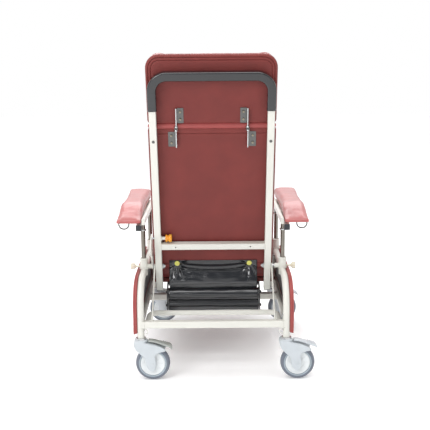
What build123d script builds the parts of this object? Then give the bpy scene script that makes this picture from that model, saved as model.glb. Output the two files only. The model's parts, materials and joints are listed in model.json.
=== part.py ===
from build123d import *
import os
from math import cos, radians, sin, tan

# Patient recliner chair. Millimetres, +Z up, front towards -Y.
# The origin lies on the floor, under the centre of the chair.

# ---- driving dimensions ----
track_half = 264.0        # side frame centre line from the middle
rear_y = 434.0            # rear leg and rear caster stem
wheelbase = 642.0
front_y = rear_y - wheelbase
clear = 0.05              # radial running clearance

tube_r = 12.5             # round side frame tube
wall = 2.0
rail_z = 358.0            # top rail centre height
frame_bend = 110.0
leg_foot_z = 158.0
low_z = 208.0             # lower rails and cross tubes
low_rail_r = 11.0

socket_r = 14.5
socket_low = 343.0
socket_top = 408.0
post_r = 8.5
post_low = 350.0
post_ys = (252.0, -60.0)  # rear and front armrest posts

pivot_y = post_ys[0]
pivot_z = 377.0
pivot_r = 5.0
boss_end = 233.0          # inner end of the pivot boss
back_angle = 14.3         # recline at rest, from the vertical
tube_half = 206.7         # back tube centre line from the middle
square = 25.0             # square tube size
face_n = 16.0             # rear face of the back boards, in front of the tube centre
board_t = 15.0
handle_s = 738.0          # push handle height along the back
tube_end_s = -100.0
cross_bar_s = 87.0
plunger_s = 119.0
head_axis_s = 548.0       # headrest hinge
head_axis_n = 6.5
seam_s = 562.0            # lower edge of the headrest
head_top_s = 808.0
cushion_half = 227.0
cushion_t = 60.0

seat_half = 240.0
seat_rear_y = 207.0
seat_front_y = -285.0
seat_board_z = 300.0
seat_top_z = 440.0
rail_x = 165.0            # seat slide rails
rail_low_z = 285.0

knee_y = -297.0           # leg-rest hinge
knee_z = 322.0
leg_y = -303.0            # rear face of the leg-rest board
leg_low_z = 100.0
foot_axis_y = -373.0
foot_axis_z = 92.0

wheel_r = 62.5
trail = 41.5

# the back's own frame: X across, Y up along the tubes, Z towards the front
tilt = radians(back_angle)
back_plane = Plane(
    origin=(0, pivot_y, pivot_z), x_dir=(1, 0, 0), z_dir=(0, -cos(tilt), sin(tilt))
)
# side view of the back, looking along +X: x is the height along the back, y towards the front
back_side = Plane(origin=(0, pivot_y, pivot_z), x_dir=back_plane.y_dir, z_dir=(1, 0, 0))

back_axis = Axis(back_plane.origin, back_plane.z_dir)

os.makedirs("parts", exist_ok=True)


def save(part, label):
    part.label = label
    export_step(part, f"parts/{label}.step")


def across(x, y, z):
    """A plane whose normal runs along +X, with local x along Y and local y along Z."""
    return Plane(origin=(x, y, z), x_dir=(0, 1, 0), z_dir=(1, 0, 0))


# ---- side frames: one bent tube, a lower rail, two post sockets and a pivot boss ----
def side_frame(side):
    x = side * track_half
    with BuildPart() as frame:
        with BuildLine(across(x, 0, 0)) as path:
            FilletPolyline(
                (rear_y, leg_foot_z), (rear_y, rail_z), (front_y, rail_z), (front_y, leg_foot_z),
                radius=frame_bend,
            )
        with BuildSketch(Plane.XY.offset(leg_foot_z)):
            with Locations((x, rear_y)):
                Circle(tube_r)
                Circle(tube_r - wall, mode=Mode.SUBTRACT)
        sweep(path=path.wires()[0])
        # lower rail, welded between the legs
        with BuildSketch(Plane.XZ.offset(-(rear_y - tube_r + wall / 2))):
            with Locations((x, low_z)):
                Circle(low_rail_r)
                Circle(low_rail_r - wall, mode=Mode.SUBTRACT)
        extrude(amount=wheelbase - 2 * tube_r + wall)
        for y in post_ys:
            with BuildSketch(Plane.XY.offset(socket_low)):
                with Locations((x, y)):
                    Circle(socket_r)
            extrude(amount=socket_top - socket_low)
        # recline pivot boss on the inner side of the rear socket
        with BuildSketch(across(side * boss_end, pivot_y, pivot_z)):
            Circle(9)
        extrude(amount=side * (track_half - socket_r / 2 - boss_end))
        if side > 0:
            # index plate for the recline plunger, a sector round the pivot
            with BuildSketch(across(228.5, pivot_y, pivot_z)):
                Circle(plunger_s + 12)
                Circle(plunger_s - 12, mode=Mode.SUBTRACT)
                with BuildLine():
                    Polyline(
                        (0, 0), (260 * sin(tilt - radians(6)), 260 * cos(tilt - radians(6))),
                        (260 * sin(tilt + radians(42)), 260 * cos(tilt + radians(42))), (0, 0),
                    )
                make_face(mode=Mode.INTERSECT)
                with BuildLine():
                    spread = radians(20)
                    Polyline(
                        (9 * cos(tilt), -9 * sin(tilt)),
                        (115 * sin(tilt + spread) + 9 * cos(tilt), 115 * cos(tilt + spread)),
                        (115 * sin(tilt + spread) - 9 * cos(tilt), 115 * cos(tilt + spread)),
                        (-9 * cos(tilt), 9 * sin(tilt)), (9 * cos(tilt), -9 * sin(tilt)),
                    )
                make_face()
                Circle(11)
                for step in (0, 12, 24, 35):
                    turn = tilt + radians(step)
                    with Locations((plunger_s * sin(turn), plunger_s * cos(turn))):
                        Circle(3.2, mode=Mode.SUBTRACT)
            extrude(amount=4.5)
        # bores for the posts, the pivot bolt and the rear clamp screw
        for y in post_ys:
            with BuildSketch(Plane.XY.offset(socket_low - 1)):
                with Locations((x, y)):
                    Circle(post_r + clear)
            extrude(amount=socket_top - socket_low + 2, mode=Mode.SUBTRACT)
        with BuildSketch(across(side * (boss_end - 6), pivot_y, pivot_z)):
            Circle(pivot_r)
        extrude(amount=side * 18, mode=Mode.SUBTRACT)
        with BuildSketch(across(side * (track_half + socket_r + 1), pivot_y, pivot_z)):
            Circle(3 + clear)
        extrude(amount=-side * socket_r, mode=Mode.SUBTRACT)
        # flats on the sockets where the side panel lies against them
        with BuildSketch(across(side * (track_half + tube_r + clear), 0, 0)):
            with Locations(*[(y, rail_z - 7) for y in post_ys]):
                Rectangle(3 * socket_r, 30)
        extrude(amount=side * 5, mode=Mode.SUBTRACT)
    return frame.part


# ---- cross members between the side frames ----
def square_tube(y):
    """A square tube across the chair, coped round the legs or the lower rails."""
    with BuildPart() as tube:
        with BuildSketch(across(-track_half, y, low_z)):
            RectangleRounded(square, square, 3)
            RectangleRounded(square - 2 * wall, square - 2 * wall, 1.5, mode=Mode.SUBTRACT)
        extrude(amount=2 * track_half)
        with BuildSketch(Plane.XY.offset(low_z - 40)):
            with Locations(*[(s * track_half, leg) for s in (1, -1) for leg in (rear_y, front_y)]):
                Circle(tube_r + clear)
        extrude(amount=80, mode=Mode.SUBTRACT)
        with BuildSketch(Plane.XZ.offset(-(rear_y - tube_r + 1))):
            with Locations((track_half, low_z), (-track_half, low_z)):
                Circle(low_rail_r + clear)
        extrude(amount=wheelbase, mode=Mode.SUBTRACT)
    return tube.solids().sort_by(lambda s: s.volume)[-1]


def cradle_tube():
    """The U-shaped tube in front of the rear cross tube."""
    reach = 128.0
    half = 240.0
    r = 10.0
    start = rear_y - square / 2 - clear
    with BuildPart() as tube:
        with BuildLine(Plane.XY.offset(low_z)) as path:
            FilletPolyline(
                (half, start), (half, rear_y - reach), (-half, rear_y - reach), (-half, start),
                radius=32,
            )
        with BuildSketch(Plane.XZ.offset(-start)):
            with Locations((half, low_z)):
                Circle(r)
                Circle(r - wall, mode=Mode.SUBTRACT)
        sweep(path=path.wires()[0])
    return tube.part


def pedestal(x, y):
    """A short upright that carries a seat rail."""
    foot = low_z + square / 2 + clear
    with BuildPart() as post:
        with BuildSketch(Plane.XY.offset(foot)):
            with Locations((x, y)):
                Rectangle(18, 18)
                Rectangle(14, 14, mode=Mode.SUBTRACT)
        extrude(amount=rail_low_z - foot - 2.3)
        with BuildSketch(Plane.XY.offset(rail_low_z - 2.3)):
            with Locations((x, y)):
                Rectangle(26, 30)
        extrude(amount=2)
    return post.part


middle_y = rear_y - 340.0
cross_members = [square_tube(y) for y in (rear_y, middle_y, front_y)]
cross_members.append(cradle_tube())
cross_members += [pedestal(s * rail_x, y) for s in (1, -1) for y in (middle_y, front_y)]
save(Compound(children=cross_members), "cross_tubes")

for side, name in ((1, "left"), (-1, "right")):
    save(side_frame(side), f"side_frame_{name}")


# ---- upholstered side panels outside the frames, with a lining inside ----
panel_x = track_half + tube_r + 0.1
panel_t = 14.4
panel_low = 175.0
panel_edge = 7.0


def panel_slab(plane, grow, low, amount, edge=0.0):
    """A flat slab whose side view outline follows the bent tube."""
    rear = rear_y + grow
    front = front_y - grow
    top = rail_z + grow
    bend = frame_bend + grow
    with BuildPart() as slab:
        with BuildSketch(plane):
            with BuildLine():
                Polyline((front, top - bend), (front, low), (rear, low), (rear, top - bend))
                RadiusArc((rear, top - bend), (rear - bend, top), -bend)
                Line((rear - bend, top), (front + bend, top))
                RadiusArc((front + bend, top), (front, top - bend), -bend)
            make_face()
        extrude(amount=amount)
        if edge:
            outer = slab.faces().sort_by(Axis.X)[-1 if amount > 0 else 0]
            fillet(outer.edges(), edge)
    return slab.part


for side, name in ((1, "left"), (-1, "right")):
    panel_plane = across(side * panel_x, 0, 0)
    save(panel_slab(panel_plane, panel_edge, panel_low, side * panel_t, 5), f"side_panel_{name}")

lining_low = low_z + low_rail_r + 1
linings = [
    panel_slab(across(side * (panel_x - 0.1), 0, 0), -tube_r - 3.5, lining_low, -side * 1.6)
    for side in (1, -1)
]
save(Compound(children=linings), "panel_linings")


# ---- stay rods and pivot bolts ----
rod_r = 3.2
rod_x = 223.0


def stay_rod(side):
    """A thin stay from the recline pivot down to the rear cross tube."""
    foot = Vector(side * rod_x, rear_y - 6, low_z + square / 2 + 0.2)
    top = Vector(side * rod_x, pivot_y, pivot_z)
    run = top - foot
    with BuildPart() as rod:
        with BuildSketch(Plane(origin=foot - run * 0.05, z_dir=run)):
            Circle(rod_r)
        extrude(amount=run.length * 1.02)
        with BuildSketch(Plane.XY.offset(foot.Z - 30)):
            with Locations((foot.X, foot.Y)):
                Rectangle(60, 60)
        extrude(amount=30, mode=Mode.SUBTRACT)
        with BuildSketch(Plane.XY.offset(foot.Z)):
            with Locations((foot.X, foot.Y)):
                Circle(6)
        extrude(amount=3)
        with BuildSketch(across(side * (rod_x - 2.5), pivot_y, pivot_z)):
            Circle(9)
        extrude(amount=side * 5)
        with BuildSketch(across(side * (rod_x - 10), pivot_y, pivot_z)):
            Circle(pivot_r + clear)
        extrude(amount=side * 20, mode=Mode.SUBTRACT)
    return rod.part


save(Compound(children=[stay_rod(1), stay_rod(-1)]), "stay_rods")

bolts = []
for side in (1, -1):
    with BuildPart() as bolt:
        inner_face = tube_half - square / 2 - 0.3
        with BuildSketch(across(side * (inner_face - 11), pivot_y, pivot_z)):
            Circle(pivot_r - 0.02)
        extrude(amount=side * (boss_end + 11.9 - inner_face + 11))
        with BuildSketch(across(side * inner_face, pivot_y, pivot_z)):
            RegularPolygon(8.5, 6)
        extrude(amount=-side * 8)
    bolts.append(bolt.part)
save(Compound(children=bolts), "pivot_bolts")


# ---- back frame: square tube bent to a U, with a cross bar ----
handle_bend = 52.0
with BuildPart() as back_frame:
    with BuildLine(back_plane) as back_path:
        FilletPolyline(
            (tube_half, tube_end_s), (tube_half, handle_s), (-tube_half, handle_s),
            (-tube_half, tube_end_s), radius=handle_bend,
        )
    end_plane = Plane(
        origin=back_plane.from_local_coords(Vector(tube_half, tube_end_s, 0)),
        x_dir=(1, 0, 0), z_dir=back_plane.y_dir,
    )
    with BuildSketch(end_plane):
        RectangleRounded(square, square, 2.5)
        RectangleRounded(square - 2 * wall, square - 2 * wall, 1, mode=Mode.SUBTRACT)
    sweep(path=back_path.wires()[0])
    bar_plane = Plane(
        origin=back_plane.from_local_coords(Vector(-tube_half + square / 2 - wall / 2, cross_bar_s, 0)),
        x_dir=back_plane.y_dir, z_dir=(1, 0, 0),
    )
    with BuildSketch(bar_plane):
        RectangleRounded(square - 0.4, square - 0.4, 2.5)
        RectangleRounded(square - 2 * wall, square - 2 * wall, 1, mode=Mode.SUBTRACT)
    extrude(amount=2 * tube_half - square + wall)
    # spacers that hold the back board clear of the sleeve's thickness
    with BuildSketch(back_plane.offset(square / 2 - 0.5)):
        with Locations(*[(s * tube_half, h) for s in (1, -1) for h in (506, 300, cross_bar_s)]):
            Circle(9)
    extrude(amount=face_n - square / 2 + 0.45)
    # accessory holes in the rear wall of the cross bar
    with BuildSketch(back_plane.offset(-square / 2 - 1)):
        with Locations((140, cross_bar_s), (-140, cross_bar_s)):
            Circle(2.6)
    extrude(amount=wall + 2, mode=Mode.SUBTRACT)
    # pivot holes across both tubes, and the plunger hole across the left one
    with BuildSketch(across(-tube_half - square, pivot_y, pivot_z)):
        Circle(pivot_r + clear)
    extrude(amount=2 * tube_half + 2 * square, mode=Mode.SUBTRACT)
    plunger_at = back_plane.from_local_coords(Vector(0, plunger_s, 0))
    with BuildSketch(across(tube_half - square, plunger_at.Y, plunger_at.Z)):
        Circle(3.0 + 2 * clear)
    extrude(amount=2 * square, mode=Mode.SUBTRACT)
save(back_frame.part, "back_frame")

sleeve_t = 3.0
sleeve_end_s = 617.0
with BuildPart() as handle_sleeve:
    with BuildLine(back_plane) as sleeve_path:
        FilletPolyline(
            (tube_half, sleeve_end_s), (tube_half, handle_s), (-tube_half, handle_s),
            (-tube_half, sleeve_end_s), radius=handle_bend,
        )
    sleeve_plane = Plane(
        origin=back_plane.from_local_coords(Vector(tube_half, sleeve_end_s, 0)),
        x_dir=(1, 0, 0), z_dir=back_plane.y_dir,
    )
    with BuildSketch(sleeve_plane):
        RectangleRounded(square + 2 * sleeve_t, square + 2 * sleeve_t, 6)
        RectangleRounded(square + 0.1, square + 0.1, 2.5, mode=Mode.SUBTRACT)
    sweep(path=sleeve_path.wires()[0])
save(handle_sleeve.part, "handle_sleeve")


# ---- boards and cushions of the back and the headrest ----
wedge = tan(radians(12.5))


def back_slab(low_s, high_s, near_n, thick, round_top, name, half=cushion_half, edge=0.0):
    """A slab on the back; its end at the headrest seam is cut to a wedge."""
    with BuildPart() as slab:
        with BuildSketch(back_plane.offset(near_n)) as outline:
            with Locations((0, (low_s + high_s) / 2)):
                Rectangle(2 * half, high_s - low_s)
            fillet(outline.vertices().group_by(Axis.Y)[-1], round_top)
            fillet(outline.vertices().group_by(Axis.Y)[0], 12)
        extrude(amount=thick)
        if edge:
            fillet(slab.faces().sort_by(back_axis)[-1].edges(), edge)
        with BuildSketch(back_side.offset(-half - 1)):
            far_n = face_n + 120
            rise = wedge * 120
            with BuildLine():
                if low_s == seam_s:
                    Polyline(
                        (seam_s - 40, face_n), (seam_s, face_n), (seam_s + rise, far_n),
                        (seam_s - 40, far_n), (seam_s - 40, face_n),
                    )
                else:
                    top = seam_s - 7.5
                    Polyline(
                        (top + 40, face_n), (top, face_n), (top - rise, far_n),
                        (top + 40, far_n), (top + 40, face_n),
                    )
            make_face()
        extrude(amount=2 * half + 2, mode=Mode.SUBTRACT)
    save(slab.part, name)


cushion_n = face_n + board_t + 0.1
back_slab(-21, seam_s - 7.5, face_n, board_t, 12, "back_board")
back_slab(58, seam_s - 7.5, cushion_n, cushion_t, 12, "back_cushion", edge=14)
back_slab(seam_s, head_top_s, face_n, board_t, 48, "headrest_board")
back_slab(seam_s, head_top_s - 2, cushion_n, cushion_t, 48, "headrest_cushion", edge=14)


# ---- ratchet hinges of the headrest, and the frame screws ----
def hinge_half(side, upper):
    """A screw plate with a folded arm that ends in an eye round the hinge pin."""
    plate_mid = side * (111 if upper else 144)
    arm_x = side * (124 if upper else 128.4)
    plate_s = (566, 621) if upper else (479, 534)
    back_of_board = face_n - 0.05
    with BuildPart() as hinge:
        with BuildSketch(back_plane.offset(back_of_board)):
            with Locations((plate_mid, sum(plate_s) / 2)):
                RectangleRounded(23, plate_s[1] - plate_s[0], 2)
        extrude(amount=-2.2)
        with BuildSketch(back_side.offset(arm_x)):
            with BuildLine():
                if upper:
                    Polyline(
                        (head_axis_s - 2, 3), (plate_s[1] - 3, 6), (plate_s[1] - 3, back_of_board),
                        (seam_s + 4, back_of_board), (seam_s + 4, 10), (head_axis_s, 10),
                        (head_axis_s - 2, 3),
                    )
                else:
                    Polyline(
                        (head_axis_s + 2, 3), (plate_s[0] + 3, 6), (plate_s[0] + 3, back_of_board),
                        (534, back_of_board), (534, 10), (head_axis_s, 10), (head_axis_s + 2, 3),
                    )
            make_face()
            with Locations((head_axis_s, head_axis_n)):
                Circle(6)
                if upper:
                    Circle(2.6, mode=Mode.SUBTRACT)
        extrude(amount=side * 3.5)
        # web that joins the plate to its arm
        with BuildSketch(back_plane.offset(back_of_board)):
            web_mid = (plate_mid + arm_x + side * 1.75) / 2
            with Locations((web_mid, sum(plate_s) / 2)):
                Rectangle(abs(arm_x + side * 1.75 - plate_mid), plate_s[1] - plate_s[0] - 8)
        extrude(amount=-2.2)
        # two screw heads
        with BuildSketch(back_plane.offset(back_of_board - 2.1)):
            with Locations(*[(plate_mid, s) for s in (plate_s[0] + 14, plate_s[1] - 14)]):
                Circle(4)
        extrude(amount=-1.8)
        if not upper:
            pin_at = back_plane.from_local_coords(Vector(0, head_axis_s, head_axis_n))
            with BuildSketch(across(side * 121.5, pin_at.Y, pin_at.Z)):
                Circle(2.55)
            extrude(amount=side * 9)
            with BuildSketch(across(side * 123.2, pin_at.Y, pin_at.Z)):
                Circle(4.5)
            extrude(amount=-side * 3)
    return hinge.part


frame_screws = []
for side in (1, -1):
    with BuildPart() as screw:
        with BuildSketch(back_plane.offset(-square / 2 - 0.05)):
            with Locations((side * tube_half, 506)):
                Circle(5)
        extrude(amount=-2.5)
        chamfer(screw.faces().sort_by(back_axis)[0].edges(), 1)
    frame_screws.append(screw.part)
lower_hinges = [hinge_half(side, False) for side in (1, -1)]
save(Compound(children=lower_hinges + frame_screws), "headrest_hinge_lower")
save(Compound(children=[hinge_half(1, True), hinge_half(-1, True)]), "headrest_hinge_upper")


# ---- spring plunger that locks the recline ----
guide_x = tube_half - square / 2 - clear
with BuildPart() as plunger_guide:
    with BuildSketch(across(guide_x, plunger_at.Y, plunger_at.Z)):
        Circle(6.3)
        Circle(3.0 + clear, mode=Mode.SUBTRACT)
    extrude(amount=-16)
save(plunger_guide.part, "plunger_guide")

pin_tip = 228.2            # stops just short of the index plate
knob_near = guide_x - 16.3
with BuildPart() as plunger_pin:
    with BuildSketch(across(pin_tip, plunger_at.Y, plunger_at.Z)):
        Circle(3.0)
    extrude(amount=-(pin_tip - knob_near))
    chamfer(plunger_pin.faces().sort_by(Axis.X)[-1].edges(), 1)
save(plunger_pin.part, "plunger_pin")

with BuildPart() as pull_knob:
    knob_plane = Plane(
        origin=(knob_near, plunger_at.Y, plunger_at.Z), x_dir=(-1, 0, 0), z_dir=(0, -1, 0)
    )
    with BuildSketch(knob_plane):
        with BuildLine():
            Polyline((0, 0), (0, 12), (2, 14.5), (6, 14.5))
            Spline((6, 14.5), (10, 9), (14.5, 14.5), tangents=[(1, -1), (1, 1)])
            Polyline((14.5, 14.5), (20, 15.5), (24, 12), (24.5, 0), (0, 0))
        make_face()
    revolve(axis=Axis((0, plunger_at.Y, plunger_at.Z), (1, 0, 0)))
save(pull_knob.part, "pull_knob")


# ---- black flap over the gap between back and seat ----
flap_half = 167.5
flap_n = face_n - 0.3
flap_t = 2.5
flap_top_s = 17.0
flap_fold_s = -8.0        # below this line the flap hangs plumb
with BuildPart() as flap_top:
    with BuildSketch(back_plane.offset(flap_n)):
        with Locations((0, (flap_top_s + flap_fold_s) / 2)):
            Rectangle(2 * flap_half, flap_top_s - flap_fold_s)
    extrude(amount=-flap_t)
save(flap_top.part, "flap_top")

hang_at = back_plane.from_local_coords(Vector(0, flap_fold_s, flap_n - flap_t / 2))
flap_low_z = 292.0
with BuildPart() as flap_skirt:
    with BuildSketch(Plane.XY.offset(flap_low_z)):
        with Locations((0, hang_at.Y)):
            Rectangle(2 * flap_half, flap_t)
    extrude(amount=hang_at.Z - flap_low_z - flap_t)
save(flap_skirt.part, "flap_skirt")

washers = []
for side in (1, -1):
    with BuildPart() as washer:
        with BuildSketch(back_plane.offset(flap_n - flap_t - 0.05)):
            with Locations((side * 138, 4)):
                Circle(9.8)
        extrude(amount=-2.6)
        fillet(washer.faces().sort_by(back_axis)[0].edges(), 1.2)
        with BuildSketch(back_plane.offset(flap_n - flap_t - 2.6)):
            with Locations((side * 138, 4)):
                Circle(3.4)
        extrude(amount=-1.6)
    washers.append(washer.part)
save(Compound(children=washers), "flap_washers")


# ---- seat: board, cushion, slide rails, and the black crossbar guard behind it ----
def block(x, y, z, name, edges=0.0):
    """A box from three (low, high) pairs, with its edges rounded."""
    with BuildPart() as box:
        with BuildSketch(Plane.XY.offset(z[0])):
            with Locations(((x[0] + x[1]) / 2, (y[0] + y[1]) / 2)):
                Rectangle(x[1] - x[0], y[1] - y[0])
        extrude(amount=z[1] - z[0])
        if edges:
            fillet(box.edges(), edges)
    if name:
        save(box.part, name)
    return box.part


block((-seat_half, seat_half), (seat_front_y + 6, seat_rear_y), (seat_board_z, seat_board_z + 15),
      "seat_board")
block((-seat_half, seat_half), (seat_front_y, seat_rear_y), (seat_board_z + 15.1, seat_top_z),
      "seat_cushion", 14)

guard_y = 244.0
guard_low = 202.0
guard_top = 287.0
guard_half = 171.0
knee_ear_x = 150.0
carriage = []
for side in (1, -1):
    carriage.append(block(
        (side * rail_x - 9, side * rail_x + 9), (seat_front_y + 20, seat_rear_y - 4),
        (rail_low_z, seat_board_z - 0.1), None,
    ))
    # ear under the board's front edge that carries the leg-rest hinge pin
    with BuildPart() as ear:
        with BuildSketch(across(side * knee_ear_x, 0, 0)):
            with BuildLine():
                Polyline(
                    (knee_y + 50, seat_board_z - 0.1), (knee_y + 50, seat_board_z - 6),
                    (knee_y - 1, seat_board_z - 6), (knee_y - 5, knee_z), (knee_y, knee_z + 7),
                    (knee_y + 7, knee_z), (knee_y + 12, seat_board_z - 0.1),
                    (knee_y + 50, seat_board_z - 0.1),
                )
            make_face()
        extrude(amount=side * 4)
        with BuildSketch(across(side * (knee_ear_x - 3), knee_y, knee_z)):
            Circle(4)
        extrude(amount=side * 14)
    carriage.append(ear.part)
save(Compound(children=carriage), "seat_rails")

brackets = []
for side in (1, -1):
    with BuildPart() as bracket:
        with BuildSketch(across(side * (guard_half + 4.3), 0, 0)):
            with BuildLine():
                Polyline(
                    (seat_rear_y - 50, rail_low_z), (seat_rear_y - 50, seat_board_z - 0.1),
                    (seat_rear_y + 6, seat_board_z - 0.1), (guard_y + 12, guard_top - 6),
                    (guard_y + 12, guard_low), (guard_y - 10, guard_low), (guard_y - 14, guard_top - 36),
                    (seat_rear_y - 20, rail_low_z), (seat_rear_y - 50, rail_low_z),
                )
            make_face()
        extrude(amount=side * 4)
        # bolt heads on the outside and the stub that holds the pad
        with BuildSketch(across(side * (guard_half + 4.3), 0, 0)):
            with Locations((guard_y, guard_low + 16), (guard_y, guard_top - 16)):
                Circle(5)
        extrude(amount=side * 9)
    brackets.append(bracket.part)
save(Compound(children=brackets), "guard_brackets")

with BuildPart() as guard_pad:
    with BuildSketch(across(-guard_half, guard_y, 0)):
        with Locations((0, guard_top - 25)):
            Circle(25)
        with Locations((1, guard_low + 20)):
            Rectangle(34, 40)
    extrude(amount=2 * guard_half)
save(guard_pad.part, "guard_pad")


# ---- leg-rest and footplate ----
leg_half = 200.0
block((-leg_half, leg_half), (leg_y - 12, leg_y), (leg_low_z, knee_z - 6), "legrest_board")
block((-leg_half, leg_half), (leg_y - 60, leg_y - 12.1), (leg_low_z + 4, knee_z - 10),
      "legrest_pad", 12)

arms = []
for side in (1, -1):
    with BuildPart() as arm:
        # upper bar with the eye round the hinge pin, on the back of the board
        with BuildSketch(across(side * (knee_ear_x + 4.2), 0, 0)):
            with BuildLine():
                Polyline(
                    (knee_y + 8, knee_z), (leg_y + 9, 180), (leg_y + 0.1, 176), (leg_y + 0.1, knee_z - 6),
                    (knee_y - 5, knee_z), (knee_y + 8, knee_z),
                )
            make_face()
            with Locations((knee_y, knee_z)):
                Circle(8.2)
                Circle(4 + clear, mode=Mode.SUBTRACT)
        extrude(amount=side * 5)
        # lower bracket under the pad that carries the footplate's pin
        with BuildSketch(across(side * 120, 0, 0)):
            with BuildLine():
                Polyline(
                    (leg_y - 2, leg_low_z - 0.1), (leg_y - 2, foot_axis_z - 6),
                    (foot_axis_y, foot_axis_z - 6), (foot_axis_y, foot_axis_z + 6),
                    (leg_y - 56, leg_low_z - 0.1), (leg_y - 2, leg_low_z - 0.1),
                )
            make_face()
            with Locations((foot_axis_y, foot_axis_z)):
                Circle(6)
        extrude(amount=side * 5)
        with BuildSketch(across(side * 116, foot_axis_y, foot_axis_z)):
            Circle(3)
        extrude(amount=side * 22)
    arms.extend(arm.solids())
save(Compound(children=arms), "legrest_arms")

with BuildPart() as footplate:
    plate_y = foot_axis_y - 9
    with BuildSketch(Plane.XY.offset(foot_axis_z - 3)):
        with Locations((0, plate_y - 45)):
            RectangleRounded(340, 90, 14)
    extrude(amount=6)
    for side in (1, -1):
        with BuildSketch(across(side * 126, foot_axis_y, foot_axis_z)):
            Circle(6)
            with Locations((-7, 0)):
                Rectangle(12, 6)
            Circle(3 + clear, mode=Mode.SUBTRACT)
        extrude(amount=side * 10)
save(footplate.part, "footplate")


# ---- armrests ----
arm_rear = 284.0
arm_front = -246.0
arm_bend = 126.0          # where the pad starts to slope down to the rear
bar_x = (254.0, 266.0)
bar_z = 543.0
square_in = 22.0          # depth of the bar and of the square tube below it
tube_mid = 277.0
pad_x = (266.5, 362.5)
pad_low_z = 558.0


def armrest(side, name):
    with BuildPart() as frame:
        # flat bar beside the pad
        with BuildSketch(Plane.XZ.offset(-(arm_rear - 4))):
            with Locations((side * (bar_x[0] + bar_x[1]) / 2, bar_z + square_in / 2)):
                RectangleRounded(bar_x[1] - bar_x[0], square_in, 2)
        extrude(amount=arm_rear - arm_front - 30)
        # square tube under the pad
        with BuildSketch(Plane.XZ.offset(-(arm_rear - 4))):
            with Locations((side * tube_mid, bar_z - square_in / 2)):
                RectangleRounded(square_in, square_in, 2)
                RectangleRounded(square_in - 2 * wall, square_in - 2 * wall, 1, mode=Mode.SUBTRACT)
        extrude(amount=arm_rear - arm_front - 30)
        # brackets that carry the pad
        for y in (arm_bend - 40, arm_front + 90):
            with BuildSketch(Plane.XZ.offset(-(y + 20))):
                with BuildLine():
                    Polyline(
                        (side * 262, bar_z - 0.5), (side * 286, bar_z - 0.5), (side * 286, bar_z + 11),
                        (side * 344, bar_z + 11), (side * 344, pad_low_z - 0.1),
                        (side * 262, pad_low_z - 0.1), (side * 262, bar_z - 0.5),
                    )
                make_face()
            extrude(amount=40)
    save(frame.part, f"arm_frame_{name}")

    posts = []
    for y in post_ys:
        with BuildPart() as post:
            with BuildSketch(Plane.XY.offset(post_low)):
                with Locations((side * track_half, y)):
                    Circle(post_r)
                    Circle(post_r - wall, mode=Mode.SUBTRACT)
            extrude(amount=bar_z - 0.05 - post_low)
            # notched round the square tube
            with BuildSketch(Plane.XY.offset(bar_z - square_in - 0.05)):
                with Locations((side * tube_mid, y)):
                    Rectangle(square_in + 0.1, 60)
            extrude(amount=square_in + 1, mode=Mode.SUBTRACT)
        posts.append(post.solids().sort_by(lambda s: s.volume)[-1])
    save(Compound(children=posts), f"arm_posts_{name}")

    with BuildPart() as pad:
        with BuildSketch(across(side * pad_x[0], 0, 0)):
            with BuildLine():
                Polyline(
                    (arm_rear, 546), (arm_rear, 564), (arm_bend, 594), (arm_front, 594),
                    (arm_front, pad_low_z), (arm_bend, pad_low_z), (arm_rear, 546),
                )
            make_face()
        extrude(amount=side * (pad_x[1] - pad_x[0]))
        fillet(pad.edges(), 7)
    save(pad.part, f"arm_pad_{name}")

    plugs = []
    for y, way in ((arm_rear - 4, 1), (arm_front + 26, -1)):
        with BuildPart() as plug:
            with BuildSketch(Plane.XZ.offset(-(y + way * 0.05))):
                with Locations((side * tube_mid, bar_z - square_in / 2)):
                    RectangleRounded(square_in, square_in, 2)
            extrude(amount=-way * 4)
        plugs.append(plug.part)
    save(Compound(children=plugs), f"arm_plugs_{name}")

    with BuildPart() as loop:
        loop_y = arm_rear - 24
        loop_x = side * 335
        loop_r = 19
        with BuildLine(Plane.XZ.offset(-loop_y)) as loop_path:
            Line((loop_x - loop_r, 547), (loop_x - loop_r, 543))
            RadiusArc((loop_x - loop_r, 543), (loop_x + loop_r, 543), -loop_r)
            Line((loop_x + loop_r, 543), (loop_x + loop_r, 547))
        with BuildSketch(Plane.XY.offset(547)):
            with Locations((loop_x - loop_r, loop_y)):
                Circle(2.5)
        sweep(path=loop_path.wires()[0])
    save(loop.part, f"tray_loop_{name}")

    # clamp knob of the rear post
    with BuildPart() as knob:
        with BuildSketch(across(side * (track_half + post_r + 0.4), pivot_y, pivot_z)):
            Circle(3)
        extrude(amount=side * 24)
        with BuildSketch(across(side * 294, pivot_y, pivot_z)):
            Circle(7)
        extrude(amount=side * 6)
        with BuildSketch(across(side * 299, pivot_y, pivot_z)):
            Circle(12)
            with PolarLocations(13.5, 6):
                Circle(3.5, mode=Mode.SUBTRACT)
        extrude(amount=side * 14)
    save(knob.part, f"clamp_knob_{name}")


armrest(1, "left")
armrest(-1, "right")


# ---- casters ----
stem_spots = {
    "rear_left": (track_half, rear_y), "rear_right": (-track_half, rear_y),
    "front_left": (track_half, front_y), "front_right": (-track_half, front_y),
}
stems = []
for x, y in stem_spots.values():
    with BuildPart() as stem:
        with BuildSketch(Plane.XY.offset(136)):
            with Locations((x, y)):
                Circle(5)
        extrude(amount=64)
        with BuildSketch(Plane.XY.offset(leg_foot_z + 0.1)):
            with Locations((x, y)):
                Circle(tube_r - wall - 0.1)
        extrude(amount=34)
        with BuildSketch(Plane.XY.offset(151)):
            with Locations((x, y)):
                Circle(18)
        extrude(amount=leg_foot_z - 151)
    stems.append(stem.part)
save(Compound(children=stems), "caster_stems")


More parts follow.
